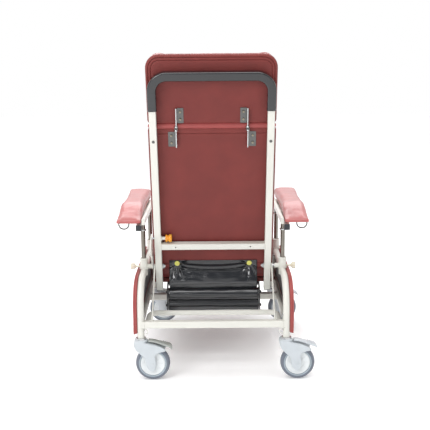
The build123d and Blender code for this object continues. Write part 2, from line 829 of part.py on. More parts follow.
def caster(x, y, name):
    hub_x = x - trail
    with BuildPart() as fork:
        with BuildSketch(Plane.XZ.offset(-(y + 24))) as side_view:
            with BuildLine():
                Polyline(
                    (x + 24, 150), (x + 27, 138), (x + 22, 124), (hub_x + 17, 92), (hub_x + 14, 62),
                    (hub_x - 14, 62), (hub_x - 16, 100), (x - 62, 128), (x - 60, 136), (x - 24, 150),
                    (x + 24, 150),
                )
            make_face()
            with Locations((hub_x, wheel_r)):
                Circle(14)
        extrude(amount=48)
        # room for the wheel, and for the pedal above it
        with BuildSketch(Plane.XZ.offset(-(y + 17.5))):
            with Locations((hub_x, wheel_r)):
                Circle(wheel_r + 3)
            with Locations((x - 78, 138)):
                Rectangle(110, 26)
        extrude(amount=35, mode=Mode.SUBTRACT)
        with BuildSketch(Plane.XY.offset(130)):
            with Locations((x, y)):
                Circle(22)
        extrude(amount=20)
        with BuildSketch(Plane.XZ.offset(-(y + 17.5))):
            with Locations((hub_x, wheel_r)):
                Circle(wheel_r + 3)
        extrude(amount=35, mode=Mode.SUBTRACT)
        with BuildSketch(Plane.XY.offset(120)):
            with Locations((x, y)):
                Circle(5 + clear)
        extrude(amount=40, mode=Mode.SUBTRACT)
        # pin that the pedal turns on, and the axle bolt, between the two cheeks
        with BuildSketch(Plane.XZ.offset(-(y + 23))):
            with Locations((x - 30, 140)):
                Circle(2)
        extrude(amount=46)
        with BuildSketch(Plane.XZ.offset(-(y + 25.5))):
            with Locations((hub_x, wheel_r)):
                Circle(4)
        extrude(amount=51)
    save(fork.part, f"fork_{name}")

    with BuildPart() as hub:
        hub_plane = Plane(origin=(hub_x, y, wheel_r), x_dir=(1, 0, 0), z_dir=(0, 0, 1))
        with BuildSketch(hub_plane):
            with BuildLine():
                Polyline(
                    (4 + clear, 15), (15, 15), (19, 10), (38, 8), (42, 13), (45, 13),
                    (45, -13), (42, -13), (38, -8), (19, -10), (15, -15), (4 + clear, -15),
                    (4 + clear, 15),
                )
            make_face()
        revolve(axis=Axis((hub_x, y, wheel_r), (0, 1, 0)))
    save(hub.part, f"hub_{name}")

    with BuildPart() as tyre:
        with BuildSketch(hub_plane):
            with BuildLine():
                Line((45.1, -14), (45.1, 14))
                Line((45.1, 14), (54, 16))
                ThreePointArc((54, 16), (wheel_r, 0), (54, -16))
                Line((54, -16), (45.1, -14))
            make_face()
        revolve(axis=Axis((hub_x, y, wheel_r), (0, 1, 0)))
    save(tyre.part, f"tyre_{name}")

    with BuildPart() as pedal:
        with BuildSketch(Plane.XZ.offset(-(y + 16))):
            with BuildLine():
                Polyline(
                    (x - 24, 146), (x - 24, 134), (x - 40, 130), (x - 70, 131), (x - 106, 134),
                    (x - 109, 139), (x - 100, 143), (x - 66, 147), (x - 40, 148), (x - 24, 146),
                )
            make_face()
        extrude(amount=32)
        with BuildSketch(Plane.XZ.offset(-(y + 22))):
            with BuildLine():
                Polyline(
                    (x - 68, 146.6), (x - 68, 133), (x - 106, 134), (x - 109, 139), (x - 100, 143),
                    (x - 68, 146.6),
                )
            make_face()
        extrude(amount=44)
        with BuildSketch(Plane.XZ.offset(-(y + 23))):
            with Locations((x - 30, 140)):
                Circle(2 + clear)
        extrude(amount=46, mode=Mode.SUBTRACT)
    save(pedal.part, f"pedal_{name}")


for name, (x, y) in stem_spots.items():
    caster(x, y, name)
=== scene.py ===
import json
import math

import bmesh
import bpy
import numpy as np
from mathutils import Matrix, Vector, noise
from mathutils.bvhtree import BVHTree
from mathutils.kdtree import KDTree


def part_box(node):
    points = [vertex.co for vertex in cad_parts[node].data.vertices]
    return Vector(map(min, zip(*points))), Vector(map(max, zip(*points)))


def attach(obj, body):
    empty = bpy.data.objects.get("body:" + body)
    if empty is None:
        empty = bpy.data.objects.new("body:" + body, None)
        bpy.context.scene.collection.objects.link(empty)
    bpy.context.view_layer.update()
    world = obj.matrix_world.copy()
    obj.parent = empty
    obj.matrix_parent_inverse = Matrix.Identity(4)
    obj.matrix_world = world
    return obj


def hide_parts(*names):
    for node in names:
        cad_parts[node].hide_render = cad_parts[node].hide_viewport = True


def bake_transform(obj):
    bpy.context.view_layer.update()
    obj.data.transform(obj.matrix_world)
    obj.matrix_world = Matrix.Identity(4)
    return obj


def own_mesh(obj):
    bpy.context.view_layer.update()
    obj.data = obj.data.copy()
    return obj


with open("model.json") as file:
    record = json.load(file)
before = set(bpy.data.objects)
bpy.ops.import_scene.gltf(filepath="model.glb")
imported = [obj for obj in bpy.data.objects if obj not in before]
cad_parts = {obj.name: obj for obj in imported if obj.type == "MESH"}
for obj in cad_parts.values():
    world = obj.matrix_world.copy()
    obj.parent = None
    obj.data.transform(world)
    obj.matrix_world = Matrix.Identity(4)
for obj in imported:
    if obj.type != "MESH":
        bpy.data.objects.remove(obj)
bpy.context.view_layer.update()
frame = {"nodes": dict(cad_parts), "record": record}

MM = 0.001
SCENE = bpy.context.scene
JOINTS = {j["name"]: j for j in frame["record"]["behaviour"]["joints"]}

# The back's own frame: x across, y up along its tubes, z out of its front.
BACK_TILT = math.radians(14.3)
UP = Vector((0, math.sin(BACK_TILT), math.cos(BACK_TILT)))
OUT = Vector((0, -math.cos(BACK_TILT), math.sin(BACK_TILT)))
BACK = Matrix((
    (1, 0, 0, 0),
    (0, UP.y, OUT.y, JOINTS["back_recline"]["pos_m"][1]),
    (0, UP.z, OUT.z, JOINTS["back_recline"]["pos_m"][2]),
    (0, 0, 0, 1),
))

# Places on the side frames, from the joints
TRACK, REAR_Y, _ = JOINTS["swivel_rear_left"]["pos_m"]
FRONT_Y = JOINTS["swivel_front_left"]["pos_m"][1]
PIVOT_Y, PIVOT_Z = JOINTS["back_recline"]["pos_m"][1:]
POST_YS = (PIVOT_Y, -0.060)
RAIL_Z = 0.358           # top rail
LOW_Z = 0.208            # lower rails and cross tubes
BACK_TUBE = 0.2067       # back tube from the middle
WASHER_X = 0.138
WHEEL_R = 0.0625
TRAIL = 0.0415


# ---------------------------------------------------------------- materials
def nodes_of(name):
    mat = bpy.data.materials.new(name)
    mat.use_nodes = True
    tree = mat.node_tree
    tree.nodes.clear()
    out = tree.nodes.new("ShaderNodeOutputMaterial")
    shader = tree.nodes.new("ShaderNodeBsdfPrincipled")
    tree.links.new(shader.outputs[0], out.inputs["Surface"])
    place = tree.nodes.new("ShaderNodeTexCoord")
    return mat, tree, shader, place.outputs["Object"]


def add(tree, kind, inputs=None, **settings):
    node = tree.nodes.new(kind)
    for key, value in settings.items():
        setattr(node, key, value)
    for key, value in (inputs or {}).items():
        if isinstance(value, bpy.types.NodeSocket):
            tree.links.new(value, node.inputs[key])
        else:
            node.inputs[key].default_value = value
    return node


def ramp(tree, factor, stops):
    node = add(tree, "ShaderNodeValToRGB", {"Fac": factor})
    colours = node.color_ramp.elements
    while len(colours) < len(stops):
        colours.new(0.5)
    for element, (at, colour) in zip(colours, stops):
        element.position = at
        element.color = (*colour, 1)
    return node.outputs["Color"]


def shade(colour, k):
    return tuple(max(0.0, min(1.0, c * k)) for c in colour)


def scaled(tree, place, scale):
    return add(tree, "ShaderNodeMapping", {"Vector": place, "Scale": scale}).outputs["Vector"]


def finish_shader(tree, shader, colour, rough, bump, strength, depth, values):
    tree.links.new(colour, shader.inputs["Base Color"])
    tree.links.new(rough, shader.inputs["Roughness"])
    node = add(tree, "ShaderNodeBump", {"Height": bump, "Strength": strength, "Distance": depth})
    tree.links.new(node.outputs["Normal"], shader.inputs["Normal"])
    for key, value in values.items():
        shader.inputs[key].default_value = value


def to_range(tree, value, low, high):
    return add(tree, "ShaderNodeMapRange", {"Value": value, "To Min": low, "To Max": high}).outputs["Result"]


def paint(name, colour, rough=(0.28, 0.4), speck=0.96, metallic=0.0):
    """Powder coat: orange peel, faint clouding, and painted shade that darkens the concave corners."""
    mat, tree, shader, place = nodes_of(name)
    cloud = add(tree, "ShaderNodeTexNoise", {"Vector": place, "Scale": 9.0, "Detail": 5.0})
    peel = add(tree, "ShaderNodeTexNoise", {"Vector": place, "Scale": 900.0, "Detail": 2.0})
    tone = ramp(tree, cloud.outputs["Fac"], [(0.3, shade(colour, speck)), (0.7, colour)])
    # Low pointiness darkens concave corners and joints: painted shade.
    edge = add(tree, "ShaderNodeNewGeometry").outputs["Pointiness"]
    corner_shade = ramp(tree, edge, [(0.42, (0.62, 0.6, 0.54)), (0.5, (1, 1, 1))])
    mixed = add(tree, "ShaderNodeMix", data_type="RGBA", blend_type="MULTIPLY")
    mixed.inputs[0].default_value = 0.55
    tree.links.new(tone, mixed.inputs[6])
    tree.links.new(corner_shade, mixed.inputs[7])
    finish_shader(
        tree, shader, mixed.outputs[2], to_range(tree, cloud.outputs["Fac"], *rough),
        peel.outputs["Fac"], 0.25, 0.0004, {"Metallic": metallic, "Coat Weight": 0.15},
    )
    return mat


def vinyl(name, colour, rough=(0.34, 0.46), cell=620.0, depth=0.0006, coat=0.1, fade=1.35, bump=0.35,
          spec=0.45, coat_rough=0.25):
    """Coated fabric: a pebble grain, soft clouding, lighter edges from wear, and painted shade darkening the
    creases.
    """
    mat, tree, shader, place = nodes_of(name)
    warp = add(tree, "ShaderNodeTexNoise", {"Vector": place, "Scale": 60.0, "Detail": 2.0})
    shifted = add(tree, "ShaderNodeVectorMath", {0: warp.outputs["Color"]}, operation="SCALE")
    shifted.inputs["Scale"].default_value = 0.004
    moved = add(tree, "ShaderNodeVectorMath", {0: place, 1: shifted.outputs[0]}, operation="ADD")
    grain = add(
        tree, "ShaderNodeTexVoronoi", {"Vector": moved.outputs[0], "Scale": cell},
        feature="DISTANCE_TO_EDGE",
    )
    pebble = ramp(tree, grain.outputs["Distance"], [(0.0, (0, 0, 0)), (0.28, (1, 1, 1))])
    cloud = add(tree, "ShaderNodeTexNoise", {"Vector": place, "Scale": 14.0, "Detail": 6.0})
    tone = ramp(
        tree, cloud.outputs["Fac"],
        [(0.25, shade(colour, 0.88)), (0.55, colour), (0.8, shade(colour, 1.12))],
    )
    # Pointiness darkens creases and hollows as painted shade, and lightens convex edges as wear.
    edge = add(tree, "ShaderNodeNewGeometry").outputs["Pointiness"]
    crease_shade_and_wear = ramp(tree, edge, [(0.44, (0.6, 0.6, 0.6)), (0.5, (1, 1, 1)), (0.6, (fade, fade, fade))])
    mixed = add(tree, "ShaderNodeMix", data_type="RGBA", blend_type="MULTIPLY")
    mixed.inputs[0].default_value = 0.8
    tree.links.new(tone, mixed.inputs[6])
    tree.links.new(crease_shade_and_wear, mixed.inputs[7])
    finish_shader(
        tree, shader, mixed.outputs[2], to_range(tree, cloud.outputs["Fac"], *rough),
        pebble, bump, depth, {"Coat Weight": coat, "Coat Roughness": coat_rough, "Specular IOR Level": spec},
    )
    return mat


def metal(name, colour, rough=(0.18, 0.35), stretch=(40.0, 900.0, 40.0), strength=0.12):
    """Drawn or rolled metal: fine lines one way and dull patches."""
    mat, tree, shader, place = nodes_of(name)
    lines = add(
        tree, "ShaderNodeTexNoise", {"Vector": scaled(tree, place, stretch), "Scale": 1.0, "Detail": 4.0}
    )
    patch = add(tree, "ShaderNodeTexNoise", {"Vector": place, "Scale": 45.0, "Detail": 4.0})
    tone = ramp(tree, patch.outputs["Fac"], [(0.3, shade(colour, 0.8)), (0.7, colour)])
    finish_shader(
        tree, shader, tone, to_range(tree, patch.outputs["Fac"], *rough),
        lines.outputs["Fac"], strength, 0.0003, {"Metallic": 1.0},
    )
    return mat


def plastic(name, colour, rough=(0.35, 0.5), texture=700.0, strength=0.2, deep=0.85, through=0.0):
    """Moulded plastic or rubber: fine spark texture and slight shade changes."""
    mat, tree, shader, place = nodes_of(name)
    cloud = add(tree, "ShaderNodeTexNoise", {"Vector": place, "Scale": 30.0, "Detail": 4.0})
    spark = add(tree, "ShaderNodeTexNoise", {"Vector": place, "Scale": texture, "Detail": 3.0})
    tone = ramp(tree, cloud.outputs["Fac"], [(0.3, shade(colour, deep)), (0.7, colour)])
    finish_shader(
        tree, shader, tone, to_range(tree, cloud.outputs["Fac"], *rough),
        spark.outputs["Fac"], strength, 0.0003,
        {"Subsurface Weight": through, "Subsurface Scale": 0.004},
    )
    return mat


CREAM = paint("cream_paint_mat", (0.70, 0.695, 0.64))
BLACK_PAINT = paint("black_steel_mat", (0.035, 0.035, 0.04))
RED = vinyl("vinyl_red_mat", (0.30, 0.052, 0.048))
RED_BOARD = vinyl("vinyl_red_board_mat", (0.175, 0.030, 0.026), rough=(0.42, 0.55), coat=0.02, spec=0.3)
# The arm pads take a lighter copy of the red vinyl: painted sheen on their tops.
RED_ARM_PAINTED_SHEEN = vinyl("vinyl_arm_mat", (0.42, 0.10, 0.095), rough=(0.3, 0.4), coat=0.35, bump=0.15, spec=0.5)
BLACK_VINYL = vinyl(
    "vinyl_black_mat", (0.008, 0.009, 0.012), rough=(0.12, 0.2), cell=800.0, coat=0.85, fade=1.2, bump=0.08,
    coat_rough=0.08
)
LINING = vinyl("lining_mat", (0.02, 0.02, 0.023), rough=(0.4, 0.55), cell=500.0, coat=0.0)
RUBBER = vinyl("sleeve_mat", (0.007, 0.008, 0.010), rough=(0.14, 0.22), cell=900.0, coat=0.7, bump=0.08,
               coat_rough=0.1)
STEEL = metal("steel_mat", (0.6, 0.61, 0.62))
# The chrome has a dark brownish base colour: painted reflection of dark surroundings.
CHROME_PAINTED_DARK = metal("chrome_mat", (0.22, 0.20, 0.175), rough=(0.08, 0.18), stretch=(60.0, 60.0, 8.0),
               strength=0.04)
HINGE = metal("hinge_mat", (0.155, 0.155, 0.15), rough=(0.3, 0.45))
BRASS = metal("screw_mat", (0.34, 0.30, 0.23), rough=(0.3, 0.45))
AMBER = plastic("amber_mat", (0.85, 0.36, 0.03), rough=(0.18, 0.28), strength=0.05, through=0.25)
YELLOW = plastic("washer_mat", (0.72, 0.70, 0.16), rough=(0.25, 0.35), strength=0.08, through=0.1)
CLAMP = plastic("clamp_mat", (0.78, 0.74, 0.6), rough=(0.3, 0.4), strength=0.08, through=0.1)
CASTER = plastic("caster_mat", (0.56, 0.60, 0.63), rough=(0.36, 0.5), deep=0.93)
# A darker copy of the caster plastic for the left-hand pedals: painted shade.
PEDAL_PAINTED_SHADE = plastic("pedal_mat", (0.40, 0.42, 0.40), rough=(0.35, 0.5), deep=0.9)
HUB = plastic("hub_mat", (0.76, 0.79, 0.80), rough=(0.35, 0.45), deep=0.95)
TYRE = plastic("tyre_mat", (0.16, 0.18, 0.22), rough=(0.5, 0.65), texture=400.0)
TYRE_RING = plastic("tyre_ring_mat", (0.36, 0.42, 0.47), rough=(0.45, 0.6), texture=400.0)
PLUG = plastic("plug_mat", (0.02, 0.022, 0.028), rough=(0.35, 0.5))
THREAD = plastic("thread_mat", (0.16, 0.035, 0.03), rough=(0.6, 0.8), texture=1500.0, strength=0.5)
THREAD_BLACK = plastic("thread_black_mat", (0.03, 0.03, 0.035), rough=(0.5, 0.7), texture=1500.0)


def dress(material, *names):
    for name in names:
        obj = frame["nodes"][name]
        obj.data.materials.clear()
        obj.data.materials.append(material)
        for slot in obj.material_slots:
            slot.material = material


SIDES = (("left", 1), ("right", -1))
CORNERS = ("rear_left", "rear_right", "front_left", "front_right")
dress(CREAM, "side_frame_left", "side_frame_right", "cross_tubes", "stay_rods", "back_frame", "plunger_guide")
dress(LINING, "panel_linings")
dress(STEEL, "pivot_bolts", "caster_stems", "plunger_pin")
dress(HINGE, "headrest_hinge_lower", "headrest_hinge_upper")
dress(RUBBER, "handle_sleeve")
dress(YELLOW, "flap_washers")
dress(BLACK_PAINT, "seat_rails", "guard_brackets", "legrest_arms")
dress(STEEL, "footplate")
for side_name, _ in SIDES:
    dress(CREAM, f"arm_frame_{side_name}")
    dress(CHROME_PAINTED_DARK, f"arm_posts_{side_name}")
    dress(PLUG, f"arm_plugs_{side_name}")
    dress(HINGE, f"tray_loop_{side_name}")
    dress(CLAMP, f"clamp_knob_{side_name}")


# ---------------------------------------------------------------- mesh tools
class Shape:
    """Vertices and faces gathered from lofts, tubes and lathes."""

    def __init__(self):
        self.verts = []
        self.faces = []

    def loft(self, rings, start=True, end=True, around=False):
        base = len(self.verts)
        n = len(rings[0])
        for ring in rings:
            self.verts.extend(Vector(p) for p in ring)
        count = len(rings)
        for i in range(count if around else count - 1):
            k = (i + 1) % count
            for j in range(n):
                m = (j + 1) % n
                self.faces.append((base + i * n + j, base + i * n + m, base + k * n + m, base + k * n + j))
        if start and not around:
            self.faces.append(tuple(base + j for j in reversed(range(n))))
        if end and not around:
            self.faces.append(tuple(base + (count - 1) * n + j for j in range(n)))
        return self

    def tube(self, path, radius, sides=10, closed=False):
        path = [Vector(p) for p in path]
        count = len(path)
        rings = []
        side = None
        for i, p in enumerate(path):
            if closed:
                run = path[(i + 1) % count] - path[i - 1]
            else:
                run = path[min(i + 1, count - 1)] - path[max(i - 1, 0)]
            run.normalize()
            if side is None:
                side = run.orthogonal().normalized()
            side = (side - run * side.dot(run)).normalized()
            other = run.cross(side)
            r = radius(i) if callable(radius) else radius
            rings.append([
                p + (side * math.cos(a) + other * math.sin(a)) * r
                for a in (2 * math.pi * k / sides for k in range(sides))
            ])
        return self.loft(rings, around=closed)

    def lathe(self, profile, at, axis, segments=40, ring=False):
        """Profile points are (radius, height); a ring's profile is a closed loop off the axis."""
        axis = Vector(axis).normalized()
        side = axis.orthogonal().normalized()
        other = axis.cross(side)
        at = Vector(at)
        rings = []
        for r, h in profile:
            rings.append([
                at + axis * h + (side * math.cos(a) + other * math.sin(a)) * max(r, 1e-5)
                for a in (2 * math.pi * k / segments for k in range(segments))
            ])
        return self.loft(rings, around=ring)

    def moved(self, matrix):
        self.verts = [matrix @ v for v in self.verts]
        return self


def mesh_from(name, shape):
    mesh = bpy.data.meshes.new(name)
    mesh.from_pydata([tuple(v) for v in shape.verts], [], shape.faces)
    work = bmesh.new()
    work.from_mesh(mesh)
    bmesh.ops.recalc_face_normals(work, faces=work.faces)
    work.to_mesh(mesh)
    work.free()
    mesh.update()
    return mesh


def piece(name, mesh, material, body, replaced=(), sharp=35, smooth=0):
    if isinstance(mesh, Shape):
        mesh = mesh_from(name, mesh)
    mesh.name = name
    mesh.materials.clear()
    mesh.materials.append(material)
    obj = bpy.data.objects.new(name, mesh)
    SCENE.collection.objects.link(obj)
    if smooth:
        rounding = obj.modifiers.new("Round", "SUBSURF")
        rounding.levels = smooth
        rounding.render_levels = smooth
    mesh.shade_smooth()
    if sharp:
        mesh.set_sharp_from_angle(angle=math.radians(sharp))
    if body:
        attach(obj, body)
    if replaced:
        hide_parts(*replaced)
    return obj


def round_rect(x0, x1, y0, y1, r_low, r_top, inset=0.0, steps=10, spacing=0.012):
    """A closed outline, always with the same number of points whatever the inset."""
    half_x = (x1 - x0) / 2
    half_y = (y1 - y0) / 2
    cx = (x0 + x1) / 2
    cy = (y0 + y1) / 2
    along_x = max(2, int((x1 - x0) / spacing))
    along_y = max(2, int((y1 - y0) / spacing))
    ends = []
    for sx, sy, r, a0 in ((1, 1, r_top, 0), (-1, 1, r_top, 90), (-1, -1, r_low, 180), (1, -1, r_low, 270)):
        k = max(r - inset, 0.0008)
        ox = cx + sx * (half_x - inset - k)
        oy = cy + sy * (half_y - inset - k)
        turns = [math.radians(a0 + 90 * i / steps) for i in range(steps + 1)]
        ends.append([(ox + k * math.cos(a), oy + k * math.sin(a)) for a in turns])
    outline = []
    for i in range(4):
        outline.extend(ends[i])
        a, b = ends[i][-1], ends[(i + 1) % 4][0]
        n = along_x if i in (0, 2) else along_y
        outline.extend((a[0] + (b[0] - a[0]) * k / n, a[1] + (b[1] - a[1]) * k / n) for k in range(1, n))
    return outline


def offset_loop(points, inset):
    """Moves a smooth closed outline inwards along its normals; points run anticlockwise."""
    n = len(points)
    out = []
    for i in range(n):
        ax, ay = points[i - 1]
        bx, by = points[(i + 1) % n]
        dx, dy = bx - ax, by - ay
        size = math.hypot(dx, dy) or 1.0
        out.append((points[i][0] - dy / size * inset, points[i][1] + dx / size * inset))
    return out


def smooth_loop(points, per=8):
    """A closed Catmull-Rom curve through the points."""
    out = []
    n = len(points)
    for i in range(n):
        p0, p1, p2, p3 = (Vector(points[(i + k - 1) % n]) for k in range(4))
        for j in range(per):
            t = j / per
            out.append(tuple(
                0.5 * (2 * p1 + (p2 - p0) * t + (2 * p0 - 5 * p1 + 4 * p2 - p3) * t * t
                       + (3 * p1 - p0 - 3 * p2 + p3) * t * t * t)
            ))
    return out


def smooth_line(points, per=8):
    """An open Catmull-Rom curve through the points."""
    out = []
    n = len(points)
    for i in range(n - 1):
        p0, p1, p2, p3 = (Vector(points[min(max(i + k - 1, 0), n - 1)]) for k in range(4))
        for j in range(per):
            t = j / per
            out.append(0.5 * (2 * p1 + (p2 - p0) * t + (2 * p0 - 5 * p1 + 4 * p2 - p3) * t * t
                              + (3 * p1 - p0 - 3 * p2 + p3) * t * t * t))
    out.append(Vector(points[-1]))
    return out


def walk(path, pitch, closed=True):
    """Points and directions at even steps along a path."""
    path = [Vector(p) for p in path]
    if closed:
        path = path + [path[0]]
    found = []
    left = pitch / 2
    for a, b in zip(path, path[1:]):
        run = b - a
        size = run.length
        if size < 1e-9:
            continue
        at = left
        while at <= size:
            found.append((a + run * (at / size), run / size))
            at += pitch
        left = at - size
    return found


def stitch_row(shape, path, up, pitch=0.0052, length=0.0036, radius=0.00045, closed=True):
    """Short threads, sunk at their ends, along a path on a surface whose normal is up."""
    for p, d in walk(path, pitch, closed):
        rise = Vector(up(p)) if callable(up) else Vector(up)
        side = d.cross(rise).normalized()
        rings = []
        for t, lift in ((-0.5, -0.9), (-0.32, 0.35), (0.0, 0.75), (0.32, 0.35), (0.5, -0.9)):
            mid = p + d * (t * length) + rise * (lift * radius)
            rings.append([
                mid + side * radius * math.cos(a) + rise * radius * math.sin(a)
                for a in (math.pi * k / 2.5 for k in range(5))
            ])
        shape.loft(rings)
    return shape


# ---------------------------------------------------------------- soft goods
def voxel_mesh(shape, voxel):
    mesh = mesh_from("soft_start", shape)
    obj = bpy.data.objects.new("soft_start", mesh)
    SCENE.collection.objects.link(obj)
    remesh = obj.modifiers.new("Remesh", "REMESH")
    remesh.mode = "VOXEL"
    remesh.voxel_size = voxel
    graph = bpy.context.evaluated_depsgraph_get()
    made = bpy.data.meshes.new_from_object(obj.evaluated_get(graph))
    bpy.data.objects.remove(obj)
    return made


def coords(mesh):
    flat = np.empty(len(mesh.vertices) * 3)
    mesh.vertices.foreach_get("co", flat)
    return flat.reshape(-1, 3)


def set_coords(mesh, places):
    mesh.vertices.foreach_set("co", places.reshape(-1))
    mesh.update()


def inflate(mesh, pinned, cap, gain=(1, 1, 1), pressure=4.0, frames=20):
    """Blows a closed cloth up a little; pinned(co) says which points stay on their board."""
    start = coords(mesh)
    obj = bpy.data.objects.new("soft_cloth", mesh)
    SCENE.collection.objects.link(obj)
    held = obj.vertex_groups.new(name="held")
    held.add([int(i) for i in np.nonzero(pinned(start))[0]], 1.0, "REPLACE")
    cloth = obj.modifiers.new("Cloth", "CLOTH")
    cloth.settings.quality = 4
    cloth.settings.mass = 0.3
    cloth.settings.tension_stiffness = 12
    cloth.settings.compression_stiffness = 12
    cloth.settings.shear_stiffness = 4
    cloth.settings.bending_stiffness = 0.4
    cloth.settings.use_pressure = True
    cloth.settings.uniform_pressure_force = pressure
    cloth.settings.effector_weights.gravity = 0
    cloth.settings.vertex_group_mass = "held"
    cloth.collision_settings.use_collision = False
    cloth.point_cache.frame_start = 1
    cloth.point_cache.frame_end = frames
    for step in range(1, frames + 1):
        SCENE.frame_set(step)
    graph = bpy.context.evaluated_depsgraph_get()
    moved = coords(obj.evaluated_get(graph).to_mesh())
    SCENE.frame_set(1)
    bpy.data.objects.remove(obj)
    shift = (moved - start) * np.array(gain)
    size = np.linalg.norm(shift, axis=1, keepdims=True)
    shift *= cap * np.tanh(size / cap) / np.maximum(size, 1e-9)
    set_coords(mesh, start + shift)
    return mesh


def relax(mesh, rounds=2, share=0.5):
    """Evens out the small steps that a voxel remesh leaves."""
    work = bmesh.new()
    work.from_mesh(mesh)
    for _ in range(rounds):
        bmesh.ops.smooth_vert(
            work, verts=work.verts, factor=share, use_axis_x=True, use_axis_y=True, use_axis_z=True
        )
    work.to_mesh(mesh)
    work.free()
    mesh.update()
    return mesh


def surface_of(mesh):
    work = bmesh.new()
    work.from_mesh(mesh)
    tree = BVHTree.FromBMesh(work)
    work.free()
    return tree


def welt_path(tree, starts, lift=0.0):
    """Where rays (start, direction) meet the surface, smoothed into a closed line."""
    found = []
    for start, direction in starts:
        hit, normal, _, _ = tree.ray_cast(Vector(start), Vector(direction).normalized())
        if hit is not None:
            found.append(hit + normal * lift)
    for _ in range(3):
        n = len(found)
        found = [(found[i - 1] + found[i] * 2 + found[(i + 1) % n]) / 4 for i in range(n)]
    return found


def pinch(mesh, path, depth, reach):
    """Draws the surface in along a seam."""
    tree = KDTree(len(path))
    for i, p in enumerate(path):
        tree.insert(p, i)
    tree.balance()
    normals = np.empty(len(mesh.vertices) * 3)
    mesh.vertices.foreach_get("normal", normals)
    normals = normals.reshape(-1, 3)
    places = coords(mesh)
    for i, p in enumerate(places):
        _, _, far = tree.find(p)
        if far < reach * 3:
            places[i] -= normals[i] * depth * math.exp(-(far / reach) ** 2)
    set_coords(mesh, places)


def wrinkle(mesh, size, scale, stretch=(1, 1, 1), seed=0.0, mask=None):
    """Soft uneven dents, as in vinyl over foam."""
    normals = np.empty(len(mesh.vertices) * 3)
    mesh.vertices.foreach_get("normal", normals)
    normals = normals.reshape(-1, 3)
    places = coords(mesh)
    for i, p in enumerate(places):
        q = Vector((p[0] * stretch[0] + seed, p[1] * stretch[1], p[2] * stretch[2])) * scale
        k = noise.fractal(q, 0.7, 2.2, 3)
        if mask:
            k *= mask(p)
        places[i] += normals[i] * size * k
    set_coords(mesh, places)


def slab_rings(outline_at, heights):
    """Rings of (inset, height) round an outline."""
    return [[(x, y, h) for x, y in outline_at(inset)] for inset, h in heights]


def cushion(name, box, radii, matrix, body, replaced, material=RED, voxel=0.006, cap=0.02,
            gain=(0.5, 0.5, 1), ends=(0.0, 0.0), start_in=0.006, edge=0.012, seed=1.0,
            front_in=0.6, frames=20):
    """A foam cushion in vinyl, in its own frame: x, y across and z out of the board."""
    (x0, x1), (y0, y1), (z0, z1) = box
    deep = z1 - z0
    low_slope, top_slope = ends

    def leaned(p):
        x, y, z = p
        t = (z - z0)
        share = (y - y0) / (y1 - y0)
        return (x, y + t * (low_slope * (1 - share) + top_slope * share), z)

    def outline(inset):
        return round_rect(x0, x1, y0, y1, radii[0], radii[1], inset)

    top = z1 - deep * 0.12
    heights = [
        (start_in + 0.002, z0), (start_in, z0 + 0.002), (start_in, z0 + deep * 0.5), (start_in, top - edge),
        (start_in + edge * 0.3, top - edge * 0.3), (start_in + edge, top),
    ]
    rings = [[leaned(p) for p in ring] for ring in slab_rings(outline, heights)]
    mesh = voxel_mesh(Shape().loft(rings), voxel)
    inflate(mesh, lambda c: c[:, 2] < z0 + voxel * 0.8, cap, gain, frames=frames)
    relax(mesh, 2)
    places = coords(mesh)
    places[:, 2] = np.maximum(places[:, 2], z0 - 0.0002)
    set_coords(mesh, places)
    tree = surface_of(mesh)

    def ray_starts(height, drop):
        loop = outline(0)
        inner = outline(0.01)
        starts = []
        for (px, py), (qx, qy) in zip(loop, inner):
            out = Vector((px - qx, py - qy, 0)).normalized()
            far = Vector(leaned((px, py, height))) + out * 0.06 + Vector((0, 0, 0.06 * drop))
            starts.append((far, -(out + Vector((0, 0, drop)))))
        return starts

    front = welt_path(tree, ray_starts(z1 - deep * 0.2, front_in))
    base = welt_path(tree, ray_starts(z0 + 0.006, 0.0))
    pinch(mesh, front, 0.0022, 0.006)
    pinch(mesh, base, 0.0014, 0.005)
    middle = Vector(((x0 + x1) / 2, (y0 + y1) / 2, z1))
    wrinkle(mesh, 0.0016, 9.0, seed=seed)
    wrinkle(
        mesh, 0.0011, 45.0, stretch=(1, 1, 0.35), seed=seed + 3,
        mask=lambda p: min(1.0, max(0.0, (abs(p[0] - middle.x) / (x1 - x0) * 2) ** 4
                                    + (abs(p[1] - middle.y) / (y1 - y0) * 2) ** 4)),
    )
    mesh.transform(matrix)
    obj = piece(name, mesh, material, body, replaced, sharp=0, smooth=1)
    pipes = Shape()
    pipes.tube([matrix @ p for p in front], 0.0031, 8, closed=True)
    pipes.tube([matrix @ p for p in base], 0.0027, 8, closed=True)
    piece(name + "_piping", pipes, material, body, sharp=0)
    return obj


